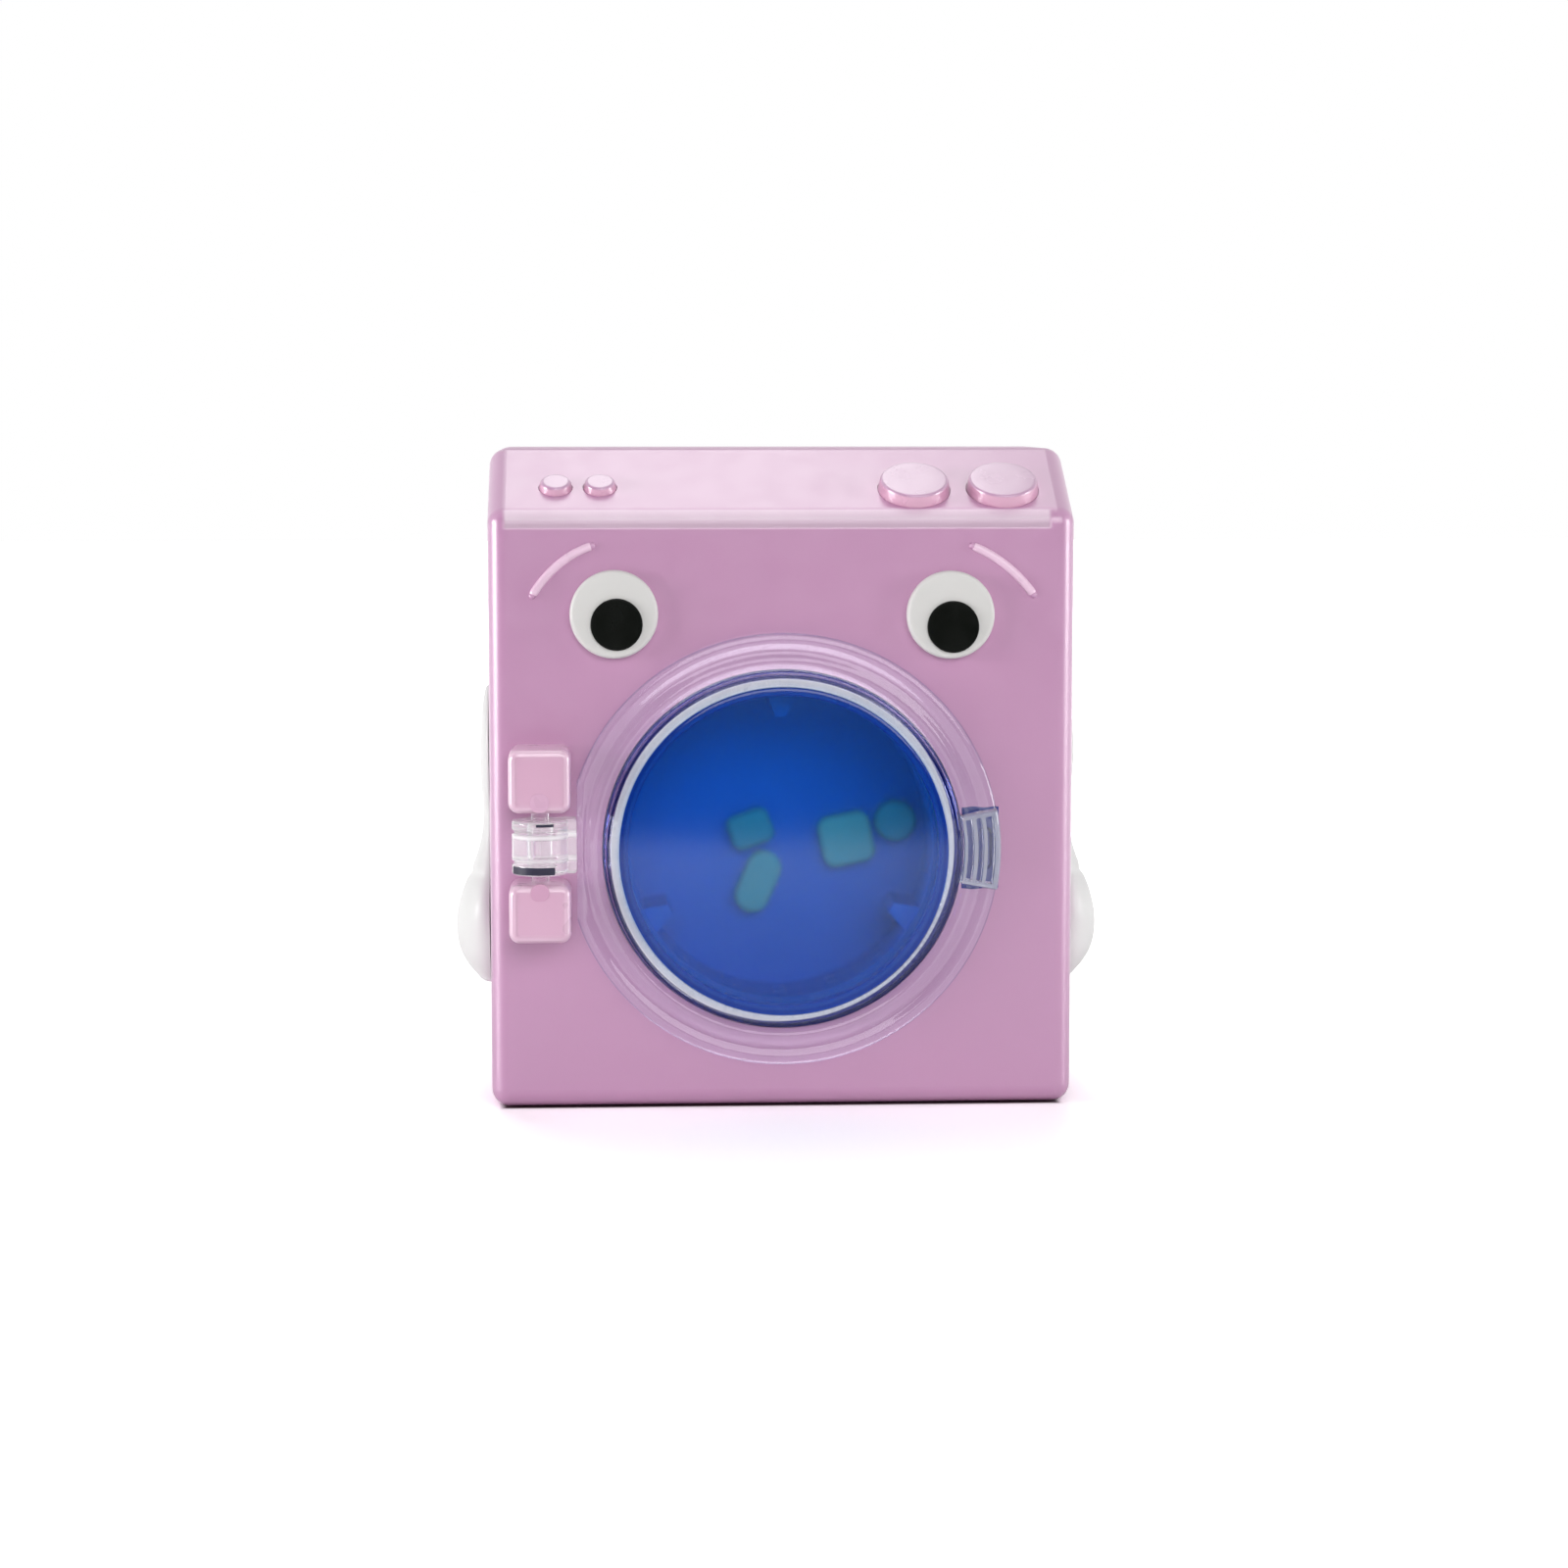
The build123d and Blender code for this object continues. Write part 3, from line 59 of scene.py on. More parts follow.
lens = bpy.data.cameras.new("photo_view")
lens.sensor_fit = "HORIZONTAL"
lens.sensor_width = sensor_width
lens.lens = focal_length
lens.clip_start = 0.01
lens.clip_end = 50.0
camera = bpy.data.objects.new("photo_view", lens)
camera.location = camera_place
camera.rotation_euler = (camera_aim - camera_place).to_track_quat("-Z", "Y").to_euler()
bpy.context.collection.objects.link(camera)
bpy.context.scene.camera = camera
bpy.context.scene.view_settings.view_transform = "Standard"

# Table and surroundings
# The toy stands on a sheet of white paper whose front edge lies a forearm in front of it. White boards stand
# behind and beside it, and the room on the camera's side is dark, so only the paper shows in the window.
paper_half_width, paper_front, paper_back = 1.6, -0.42, 2.4
paper_white = (0.90, 0.90, 0.90, 1.0)
# The next colour is a painted contact shadow, laid under the cabinet's footprint, whose half sizes and soft
# edge follow.
paper_painted_shadow = (0.10, 0.05, 0.07, 1.0)
paper_roughness = 0.45
shadow_half_width, shadow_half_depth, shadow_soft = 0.0440, 0.0235, 0.0012
paper_extra = 0.80
glow_start, glow_full = 0.05, 0.45
board_light, dark_room = 0.10, 0.02
dark_side, light_side = -0.80, -0.35


def feed(tree, socket, value):
    """Gives a socket a plain value, or links another socket to it."""
    if isinstance(value, bpy.types.NodeSocket):
        tree.links.new(value, socket)
    else:
        socket.default_value = value


def maths(tree, operation, *values):
    """Result of a Math node on one or two values."""
    made = tree.nodes.new("ShaderNodeMath")
    made.operation = operation
    for socket, value in zip(made.inputs, values):
        feed(tree, socket, value)
    return made.outputs[0]


def ramp(tree, value, low, high, start=0.0, end=1.0, smooth=False):
    """Result that goes from start to end while value goes from low to high."""
    span = tree.nodes.new("ShaderNodeMapRange")
    span.interpolation_type = "SMOOTHSTEP" if smooth else "LINEAR"
    sockets = ("Value", "From Min", "From Max", "To Min", "To Max")
    for socket, given in zip(sockets, (value, low, high, start, end)):
        feed(tree, span.inputs[socket], given)
    return span.outputs["Result"]


def mix(tree, kind, share, start, end):
    """Result that goes from start to end with a share of 0 to 1; its kind is RGBA, FLOAT or VECTOR."""
    blend = tree.nodes.new("ShaderNodeMix")
    blend.data_type = kind
    for socket, given in (("Factor", share), ("A", start), ("B", end)):
        feed(tree, blend.inputs[socket], given)
    return blend.outputs["Result"]


paper_mesh = bpy.data.meshes.new("paper")
paper_mesh.from_pydata(
    [(-paper_half_width, paper_front, 0), (paper_half_width, paper_front, 0),
     (paper_half_width, paper_back, 0), (-paper_half_width, paper_back, 0)],
    [], [(0, 1, 2, 3)],
)
paper = bpy.data.objects.new("paper", paper_mesh)
bpy.context.collection.objects.link(paper)

# The paper is painted dark under the cabinet, a painted contact shadow. The camera sees it whiter than
# the toy does, and far from the toy it glows white for the camera and for mirroring skins.
paper_finish = bpy.data.materials.new("white_paper")
paper_finish.use_nodes = True
sheet = paper_finish.node_tree
sheet_skin = sheet.nodes["Principled BSDF"]
sheet_skin.inputs["Roughness"].default_value = paper_roughness
ray = sheet.nodes.new("ShaderNodeLightPath").outputs
sheet_place = sheet.nodes.new("ShaderNodeTexCoord").outputs["Object"]
sheet_axes = sheet.nodes.new("ShaderNodeSeparateXYZ")
feed(sheet, sheet_axes.inputs["Vector"], sheet_place)
past_side = maths(sheet, "SUBTRACT", maths(sheet, "ABSOLUTE", sheet_axes.outputs["X"]), shadow_half_width)
past_front = maths(sheet, "SUBTRACT", maths(sheet, "ABSOLUTE", sheet_axes.outputs["Y"]), shadow_half_depth)
outside_painted_shadow = ramp(sheet, maths(sheet, "MAXIMUM", past_side, past_front), -shadow_soft, 0.0)
feed(sheet, sheet_skin.inputs["Base Color"], mix(sheet, "RGBA", outside_painted_shadow, paper_painted_shadow, paper_white))
extra_seen = maths(sheet, "MULTIPLY", ray["Is Camera Ray"], outside_painted_shadow)
sheet_extra = sheet.nodes.new("ShaderNodeBsdfDiffuse")
feed(sheet, sheet_extra.inputs["Color"], maths(sheet, "MULTIPLY", extra_seen, paper_extra))
sheet_reach = sheet.nodes.new("ShaderNodeVectorMath")
sheet_reach.operation = "LENGTH"
feed(sheet, sheet_reach.inputs[0], sheet_place)
far = ramp(sheet, sheet_reach.outputs["Value"], glow_start, glow_full)
glow_seen = maths(sheet, "MAXIMUM", ray["Is Camera Ray"], ray["Is Glossy Ray"])
sheet_glow = sheet.nodes.new("ShaderNodeEmission")
feed(sheet, sheet_glow.inputs["Strength"], maths(sheet, "MULTIPLY", far, glow_seen))
sheet_look = sheet_skin.outputs["BSDF"]
for layer in (sheet_extra.outputs["BSDF"], sheet_glow.outputs["Emission"]):
    both = sheet.nodes.new("ShaderNodeAddShader")
    feed(sheet, both.inputs[0], sheet_look)
    feed(sheet, both.inputs[1], layer)
    sheet_look = both.outputs["Shader"]
feed(sheet, sheet.nodes["Material Output"].inputs["Surface"], sheet_look)
paper_mesh.materials.append(paper_finish)

# The world is white to the camera and through clear plastic, a lit room to mirroring skins and dim to others.
surroundings = bpy.data.worlds.new("studio")
surroundings.use_nodes = True
bpy.context.scene.world = surroundings
studio = surroundings.node_tree
studio_back = studio.nodes["Background"]
studio_back.inputs["Color"].default_value = (1.0, 1.0, 1.0, 1.0)
ray = studio.nodes.new("ShaderNodeLightPath").outputs
studio_axes = studio.nodes.new("ShaderNodeSeparateXYZ")
feed(studio, studio_axes.inputs["Vector"], studio.nodes.new("ShaderNodeTexCoord").outputs["Generated"])
mirrored_room = ramp(studio, studio_axes.outputs["Y"], dark_side, light_side, dark_room, 1.0, smooth=True)
room_light = mix(studio, "FLOAT", ray["Is Glossy Ray"], board_light, mirrored_room)
unscattered = maths(studio, "LESS_THAN", ray["Diffuse Depth"], 0.5)
through_clear = maths(studio, "MULTIPLY", ray["Is Transmission Ray"], unscattered)
seen_straight = maths(studio, "MAXIMUM", ray["Is Camera Ray"], through_clear)
feed(studio, studio_back.inputs["Strength"], mix(studio, "FLOAT", seen_straight, room_light, 1.0))


def softbox(name, place, aim, width, height, power, mirrored=True):
    """A rectangular softbox at place, turned so that it shines at aim. Polished skins show it if mirrored."""
    light = bpy.data.lights.new(name, "AREA")
    light.shape = "RECTANGLE"
    light.size = width
    light.size_y = height
    light.energy = power
    lamp = bpy.data.objects.new(name, light)
    lamp.location = place
    lamp.visible_camera = False
    lamp.visible_glossy = mirrored
    lamp.rotation_euler = (Vector(aim) - Vector(place)).to_track_quat("-Z", "Y").to_euler()
    bpy.context.collection.objects.link(lamp)


toy_top, toy_middle = (0.0, 0.0, 0.09), (0.0, 0.0, 0.05)
softbox("overhead_softbox", (0.0, 0.24, 0.96), toy_top, 0.30, 0.84, 1.95)
softbox("front_softbox", (0.20, -1.02, 0.50), toy_middle, 1.10, 0.50, 6.8)
softbox("left_softbox", (-0.95, -0.24, 0.16), toy_middle, 0.40, 0.26, 5.4)
softbox("right_softbox", (0.95, -0.24, 0.16), toy_middle, 0.40, 0.26, 2.8)
softbox("back_softbox", (-0.25, 1.15, 0.55), toy_middle, 0.90, 0.50, 5.5, mirrored=False)

# Cabinet shell, rear cover and battery lid
# The front, sides, floor, top and sloping panel are one injection moulding in pink plastic, open at the back,
# where a cover of the same plastic is screwed on. The skin is satin, with a faint grain from the mould.
pink = (0.535, 0.255, 0.452, 1.0)
cloud_noise, smear_noise, grit_noise = (55.0, 3.0), (260.0, 2.0), (5200.0, 1.0)
shine_drift, coat_roughness = 0.04, 0.32


def moulded_plastic(name, colour, shine=0.34, blotch=0.03, grain=0.00001, coat=0.0, gloss=0.5):
    """Plastic whose colour drifts by broad Object-space noise, whose roughness drifts by a finer one, and
    whose skin is bumped by a grain about a fifth of a millimetre wide."""
    material = bpy.data.materials.new(name)
    material.use_nodes = True
    tree = material.node_tree
    place = tree.nodes.new("ShaderNodeTexCoord").outputs["Object"]
    drifts = []
    for scale, detail in (cloud_noise, smear_noise, grit_noise):
        noise = tree.nodes.new("ShaderNodeTexNoise")
        noise.inputs["Scale"].default_value = scale
        noise.inputs["Detail"].default_value = detail
        feed(tree, noise.inputs["Vector"], place)
        drifts.append(noise.outputs["Fac"])
    cloud, smear, grit = drifts
    darker = tuple(c * (1 - blotch) for c in colour[:3]) + (1.0,)
    lighter = tuple(min(1.0, c * (1 + blotch)) for c in colour[:3]) + (1.0,)
    skin_bump = tree.nodes.new("ShaderNodeBump")
    skin_bump.inputs["Strength"].default_value = 0.5
    skin_bump.inputs["Distance"].default_value = grain
    feed(tree, skin_bump.inputs["Height"], grit)
    for socket, value in (
        ("Base Color", mix(tree, "RGBA", cloud, darker, lighter)),
        ("Roughness", ramp(tree, smear, 0.3, 0.7, shine - shine_drift, shine + shine_drift)),
        ("Normal", skin_bump.outputs["Normal"]),
        ("Specular IOR Level", gloss),
        ("Coat Weight", coat),
        ("Coat Roughness", coat_roughness),
    ):
        feed(tree, tree.nodes["Principled BSDF"].inputs[socket], value)
    return material


def dress(material, *nodes):
    """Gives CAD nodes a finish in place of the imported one."""
    for node in nodes:
        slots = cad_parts[node].data.materials
        slots.clear()
        slots.append(material)


pink_moulding = moulded_plastic("pink_moulding", pink, coat=1.0, gloss=1.0)
dress(pink_moulding, "rear_cover", "battery_door")

# The housing's panel and front meet in a narrow flat with soft edges. Its shading leans by the height above
# the floor: from the front's own direction over two steps to nearly the panel's, between the side corners.
# There the flat is also painted paler, a painted highlight that grows over the second step.
# The flat top came less polished out of the mould than the rest. Each span is in mm along one axis.
first_lean, second_lean = radians(42), radians(8)
first_rise, second_rise, flat_start, flat_end = (89.4, 89.9), (90.8, 91.1), (89.3, 89.8), (92.3, 92.6)
left_corner, right_corner, flat_back, top_start = (-42.9, -42.0), (40.6, 41.5), (-22.6, -22.3), (101.3, 101.5)
flat_painted_highlight, highlight_low, highlight_high, top_gloss = (0.86, 0.66, 0.80, 1.0), 0.55, 0.75, 0.3
edge_pink = pink_moulding.copy()
edge_pink.name = "pink_moulding_edge"
edge = edge_pink.node_tree
edge_skin = edge.nodes["Principled BSDF"].inputs
edge_axes = edge.nodes.new("ShaderNodeSeparateXYZ")
feed(edge, edge_axes.inputs["Vector"], edge.nodes["Texture Coordinate"].outputs["Object"])


def edge_step(axis, span, start=0.0, end=1.0):
    """Smooth step from start to end along a span of the Object coordinate named axis."""
    low, high = span
    return ramp(edge, edge_axes.outputs[axis], low * mm, high * mm, start, end, smooth=True)


leaning_first = edge_step("Z", first_rise, 0.0, first_lean)
leaning_more = edge_step("Z", second_rise, 0.0, second_lean)
edge_lean = maths(edge, "ADD", leaning_first, leaning_more)
edge_facing = edge.nodes.new("ShaderNodeCombineXYZ")
feed(edge, edge_facing.inputs["Y"], maths(edge, "MULTIPLY", maths(edge, "COSINE", edge_lean), -1.0))
feed(edge, edge_facing.inputs["Z"], maths(edge, "SINE", edge_lean))
edge_share = edge_step("Z", flat_start)
for axis, span, start, end in (
    ("Z", flat_end, 1.0, 0.0), ("X", left_corner, 0.0, 1.0), ("X", right_corner, 1.0, 0.0),
    ("Y", flat_back, 1.0, 0.0),
):
    edge_share = maths(edge, "MULTIPLY", edge_share, edge_step(axis, span, start, end))
skin_facing = edge.nodes["Bump"].outputs["Normal"]
feed(edge, edge_skin["Normal"], mix(edge, "VECTOR", edge_share, skin_facing, edge_facing.outputs["Vector"]))
skin_colour = edge_skin["Base Color"].links[0].from_socket
# Painted highlight: the flat's colour goes over to the pale pink.
highlight_share = maths(edge, "MULTIPLY", edge_share, edge_step("Z", second_rise, highlight_low, highlight_high))
feed(edge, edge_skin["Base Color"], mix(edge, "RGBA", highlight_share, skin_colour, flat_painted_highlight))
top_polish = edge_step("Z", top_start, 1.0, top_gloss)
for socket in ("Coat Weight", "Specular IOR Level"):
    feed(edge, edge_skin[socket], top_polish)
dress(edge_pink, "housing")


def surface(name, points, material, wrap_rows=False, wrap_columns=False, crease=38.0):
    """Piece over a grid of points in millimetres: each cell of the grid is one face, and a wrapped side of
    the grid is joined to its own start. Doubled points, as at a pole, are merged, the faces are turned
    outwards, and edges that bend more than crease degrees stay sharp."""
    rows, columns = points.shape[:2]
    index = np.arange(rows * columns).reshape(rows, columns)
    if wrap_rows:
        index = np.vstack([index, index[:1]])
    if wrap_columns:
        index = np.hstack([index, index[:, :1]])
    cells = np.stack([index[:-1, :-1], index[1:, :-1], index[1:, 1:], index[:-1, 1:]], axis=-1)
    mesh = bpy.data.meshes.new(name)
    mesh.from_pydata((points.reshape(-1, 3) * mm).tolist(), [], cells.reshape(-1, 4).tolist())
    shape = bmesh.new()
    shape.from_mesh(mesh)
    bmesh.ops.remove_doubles(shape, verts=shape.verts, dist=0.000002)
    bmesh.ops.recalc_face_normals(shape, faces=shape.faces)
    shape.to_mesh(mesh)
    shape.free()
    mesh.polygons.foreach_set("use_smooth", np.ones(len(mesh.polygons), dtype=bool))
    mesh.set_sharp_from_angle(angle=radians(crease))
    mesh.materials.append(material)
    piece = bpy.data.objects.new(name, mesh)
    bpy.context.collection.objects.link(piece)
    return piece


# Brow ridges
# Two thin half-round ridges, moulded with the front. They are shinier than the skin round them, and
# painted paler as a painted highlight.
front_y = -24.0
brow_radius, brow_sunk = 0.66, 0.02
# Painted highlight: the ridges' pink is paler than the skin's.
brow_painted_highlight = moulded_plastic("brow_ridge_painted_highlight", (0.84, 0.58, 0.75, 1.0), shine=0.28, coat=1.0)


def ridge(name, left, middle, right):
    """Half-round ridge on the front along a parabola through three (across, up) points: the profile is
    radius * sin a along the front and radius * cos a out of it, and it shrinks to the ends as a quarter
    circle does."""
    left, middle, right = (np.array(p) for p in (left, middle, right))
    t = np.linspace(0, 1, 49)[:, None]
    bend = 2 * middle - (left + right) / 2
    line = (1 - t) ** 2 * left + 2 * t * (1 - t) * bend + t**2 * right
    run = np.gradient(line, axis=0)
    run /= np.linalg.norm(run, axis=1, keepdims=True)
    length = np.linalg.norm(np.diff(line, axis=0), axis=1).sum()
    from_end = np.minimum(t, 1 - t) * length / brow_radius
    full = np.sqrt(np.clip(1 - (1 - np.minimum(from_end, 1.0)) ** 2, 0, 1))
    around = np.linspace(-np.pi / 2, np.pi / 2, 17)[None, :]
    side = brow_radius * full * np.sin(around)
    out = brow_radius * full * np.cos(around)
    x = line[:, :1] - run[:, 1:] * side
    z = line[:, 1:] + run[:, :1] * side
    return surface(name, np.stack([x, front_y + brow_sunk - out, z], axis=-1), brow_painted_highlight)


brow_left = ridge("brow_left", (-38.3, 79.3), (-34.2, 84.15), (-28.95, 87.05))
brow_right = ridge("brow_right", (28.95, 86.95), (34.3, 83.85), (38.6, 79.3))
for piece in (brow_left, brow_right):
    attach(piece, "cabinet")

# Eyes
# Thick white discs with a soft rim, each held by a peg through the front, and a flat black disc for a
# pupil, glued on low and a little to one side.
eye_radius, eye_edge, eye_front = 6.75, 0.8, front_y - 1.7
pupil_radius, pupil_edge, pupil_front = 3.97, 0.2, eye_front - 0.5
eye_white = moulded_plastic("eye_white", (0.70, 0.69, 0.675, 1.0), shine=0.42, blotch=0.02)
pupil_black = moulded_plastic("pupil_black", (0.003, 0.004, 0.003, 1.0), shine=0.24, gloss=0.15)


def eased(corners, cuts, steps=6):
    """Closed outline through corners, each cut back by its own length and bridged by the parabola
    (1-t)^2 a + 2t(1-t) corner + t^2 b."""
    corners = np.asarray(corners, dtype=float)
    back = np.roll(corners, 1, axis=0) - corners
    ahead = np.roll(corners, -1, axis=0) - corners
    back /= np.linalg.norm(back, axis=1, keepdims=True)
    ahead /= np.linalg.norm(ahead, axis=1, keepdims=True)
    cuts = np.asarray(cuts, dtype=float)[:, None]
    t = np.linspace(0, 1, steps)[None, :, None]
    a, b = (corners + back * cuts)[:, None], (corners + ahead * cuts)[:, None]
    return ((1 - t) ** 2 * a + 2 * t * (1 - t) * corners[:, None] + t**2 * b).reshape(-1, 2)


def whole_turn(steps):
    """Angles once round in even steps, as a row."""
    return np.linspace(0, 2 * np.pi, steps, endpoint=False)[None, :]


def turned(name, outline, across, up, material, closed=True):
    """Outline of (distance, depth) points turned round a front-to-back axis at (across, up):
    x = across + distance cos a, y = depth, z = up + distance sin a."""
    outline = np.asarray(outline, dtype=float)
    angle = whole_turn(200)
    distance, depth = outline[:, :1], outline[:, 1:]
    points = np.stack(
        [across + distance * np.cos(angle), depth + 0 * angle, up + distance * np.sin(angle)], axis=-1
    )
    return surface(name, points, material, wrap_rows=closed, wrap_columns=True)


def soft_disc(name, across, up, back, front, radius, edge, material):
    """Disc whose outline runs from the middle of its front, over an eased rim, to the middle of its back."""
    corners = [(0, front), (radius, front), (radius, back), (0, back)]
    outline = eased(corners, (0.0, edge, 0.05, 0.0), steps=10)
    return turned(name, outline, across, up, material, closed=False)


eye_form = (front_y, eye_front, eye_radius, eye_edge, eye_white)
pupil_form = (eye_front, pupil_front, pupil_radius, pupil_edge, pupil_black)
eye_left = soft_disc("eye_disc_left", -25.8, 76.6, *eye_form)
eye_right = soft_disc("eye_disc_right", 25.7, 76.4, *eye_form)
pupil_left = soft_disc("pupil_disc_left", -25.4, 75.1, *pupil_form)
pupil_right = soft_disc("pupil_disc_right", 26.0, 74.6, *pupil_form)
for piece, node, slot in (
    (eye_left, "eye_left", "white_plastic"),
    (eye_right, "eye_right", "white_plastic"),
    (pupil_left, "pupil_left", "black_plastic"),
    (pupil_right, "pupil_right", "black_plastic"),
):
    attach(piece, "cabinet")
    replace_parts(piece, node)

# Tub, drum and laundry
# The navy tub is screwed behind the round opening, and its collar comes flush with the front. The blue
# drum turns in it on a steel shaft, with soft-edged mouldings for washing glued to its back.
drum_z = 40.4
navy = moulded_plastic("navy_moulding", (0.012, 0.022, 0.20, 1.0), shine=0.25)
dress(navy, "tub")
drum_blue = moulded_plastic("drum_blue", (0.001, 0.23, 0.60, 1.0), shine=0.55)
dress(drum_blue, "drum")
sock_teal = moulded_plastic("sock_teal", (0.28, 0.60, 0.38, 1.0))
dress(sock_teal, "laundry_sock_cuff", "laundry_sleeve")
shirt_yellow = moulded_plastic("shirt_yellow", (0.97, 0.86, 0.42, 1.0))
dress(shirt_yellow, "laundry_sock_foot", "laundry_shirt")

# Door ring
# One clear moulding: a flange with two soft ridges, a raised rim round the window, and a ribbed finger
# grip on the right whose grooves show the navy keeper behind it. Each ridge has a height, a middle and a
# half width, and each groove starts and ends so far out from the grip's inner side.
flange_back, flange_front, rim_front = -24.3, -25.9, -28.5
flange_radius, flange_flat, flange_edge = 33.35, 31.6, 0.45
rim_foot, rim_top, rim_bore, window_bore = 27.4, 27.1, 26.6, 25.3
flange_ridges = ((0.44, 29.0, 1.7), (0.38, 32.25, 1.6))
grip_inner, grip_half_angle, grip_side, grip_proud = 27.7, 11.0, 0.5, 2.0
groove_start, groove_stop, groove_depth, groove_flank = 2.0, 1.6, 1.5, 0.12
grooves = np.array([(0.55, 1.55), (2.15, 3.05), (3.6, 4.8)])
rib_painted_reflection, edge_painted_shade, shade_lean, shade_turn = 0.32, 0.5, 0.3, 40.0
rim_line_start, rim_line_stop, edge_line_start = (26.65, 26.78), (27.45, 27.55), (33.0, 33.2)


def carried(tree, name):
    """The value that the mesh carries under a name."""
    attribute = tree.nodes.new("ShaderNodeAttribute")
    attribute.attribute_name = name
    return attribute.outputs["Fac"]


def clear_plastic(name, colour, haze, lamp_tint=(1.0, 1.0, 1.0, 1.0), milky=False, painted_shade=None):
    """Clear plastic that bends what is seen through it, and lets the lamps' light pass straight on, on its
    way in and after it has scattered below. If milky, the mesh's milk value is the share that scatters
    white. If there is a painted shade, the mesh's painted_shade value is the share of that dark colour."""
    material = bpy.data.materials.new(name)
    material.use_nodes = True
    tree = material.node_tree
    skin = tree.nodes["Principled BSDF"]
    for socket, value in (
        ("Base Color", colour), ("Roughness", haze), ("IOR", 1.49), ("Transmission Weight", 1.0),
    ):
        skin.inputs[socket].default_value = value
    if milky:
        feed(tree, skin.inputs["Transmission Weight"], maths(tree, "SUBTRACT", 1.0, carried(tree, "milk")))
    if painted_shade:
        feed(tree, skin.inputs["Base Color"], mix(tree, "RGBA", carried(tree, "painted_shade"), colour, painted_shade))
    ray = tree.nodes.new("ShaderNodeLightPath").outputs
    passing = tree.nodes.new("ShaderNodeBsdfTransparent")
    passing.inputs["Color"].default_value = lamp_tint
    choice = tree.nodes.new("ShaderNodeMixShader")
    feed(tree, choice.inputs["Fac"], maths(tree, "MAXIMUM", ray["Is Shadow Ray"], ray["Diffuse Depth"]))
    feed(tree, choice.inputs[1], skin.outputs["BSDF"])
    feed(tree, choice.inputs[2], passing.outputs["BSDF"])
    feed(tree, tree.nodes["Material Output"].inputs["Surface"], choice.outputs["Shader"])
    return material


def bump(value, middle, half_width):
    """One where value is at the middle, falling to nothing half_width away as a raised cosine does."""
    reach = np.clip(np.abs(value - middle) / half_width, 0, 1)
    return 0.5 + 0.5 * np.cos(np.pi * reach)


def step(value, low, high):
    """Smooth step from 0 at low to 1 at high."""
    t = np.clip((value - low) / (high - low), 0, 1)
    return t * t * (3 - 2 * t)


def between(value, low, high, soft):
    """One between low and high, with smooth flanks of width soft inside them."""
    return step(value, low, low + soft) * (1 - step(value, high - soft, high))


def mesh_points(piece):
    """Every point of a piece's mesh as a row of x, y and z in millimetres."""
    flat = np.empty(len(piece.data.vertices) * 3)
    piece.data.vertices.foreach_get("co", flat)
    return flat.reshape(-1, 3) / mm


def from_drum_axis(points):
    """Distance of each point from the drum's axis."""
    return np.hypot(points[:, 0], points[:, 2] - drum_z)


def carry(piece, name, values):
    """Gives each point of a piece's mesh its value, for its material to read under that name."""
    piece.data.attributes.new(name, "FLOAT", "POINT").data.foreach_set("value", values)


# Its painted shade colour is navy, laid on by the mesh's painted_shade value.
door_clear = clear_plastic(
    "door_clear", (0.90, 0.91, 0.95, 1.0), 0.02, lamp_tint=(0.93, 0.93, 0.96, 1.0), milky=True,
    painted_shade=(0.006, 0.012, 0.24, 1.0),
)
grip_turns = np.linspace(grip_half_angle - 2.2, grip_half_angle, 12)
ring_degrees = np.unique(np.concatenate([np.linspace(0, 360, 289)[:-1], grip_turns, 360 - grip_turns]))
ring_turns = np.radians(ring_degrees)[None, :]
groove_lines = np.concatenate([grooves, grooves + (groove_flank, -groove_flank)], axis=None)
ring_reach = np.unique(np.concatenate([
    np.linspace(rim_foot + 0.1, flange_radius - flange_edge, 60),
    grip_inner + np.concatenate([[0.0, groove_flank, 5.3], groove_lines]),
]))
from_grip = np.abs(np.degrees((ring_turns + np.pi) % (2 * np.pi) - np.pi))
grip_share = 1 - step(from_grip, grip_half_angle - grip_side, grip_half_angle)
groove_share = 1 - step(from_grip, grip_half_angle - groove_start, grip_half_angle - groove_stop)
reach = ring_reach[:, None]
ridges = sum(height * bump(reach, middle, half_width) for height, middle, half_width in flange_ridges)
ribs = grip_proud * between(reach, grip_inner, flange_radius + 1.0, groove_flank)
for inner, outer in grip_inner + grooves:
    ribs = ribs - groove_depth * groove_share * between(reach, inner, outer, groove_flank)
ring_front = flange_front - ridges * (1 - grip_share) - ribs * grip_share

# The flange's outer edge is a quarter circle, and the rim's front has points for the painted shade.
edge_front = ring_front[-1:]
edge_bend = np.linspace(0, np.pi / 2, 7)[1:, None]
edge_reach = flange_radius - flange_edge + flange_edge * np.sin(edge_bend)
edge_y = edge_front + flange_edge * (1 - np.cos(edge_bend))
inside = eased(
    [(flange_radius, flange_back), (rim_bore, flange_back), (rim_bore, rim_front + 1.0),
     (window_bore, rim_front + 1.0), (window_bore, rim_front), (26.0, rim_front), (26.3, rim_front),
     (26.6, rim_front), (rim_top, rim_front), (rim_foot, flange_front)],
    (0.25, 0.15, 0.15, 0.1, 0.22, 0.1, 0.1, 0.1, 0.35, 0.12),
)
ring_section = np.concatenate([
    np.stack([reach + 0 * ring_front, ring_front], axis=-1),
    np.stack([edge_reach + 0 * edge_front, edge_y], axis=-1),
    np.broadcast_to(inside[:, None], (len(inside), ring_turns.size, 2)),
])

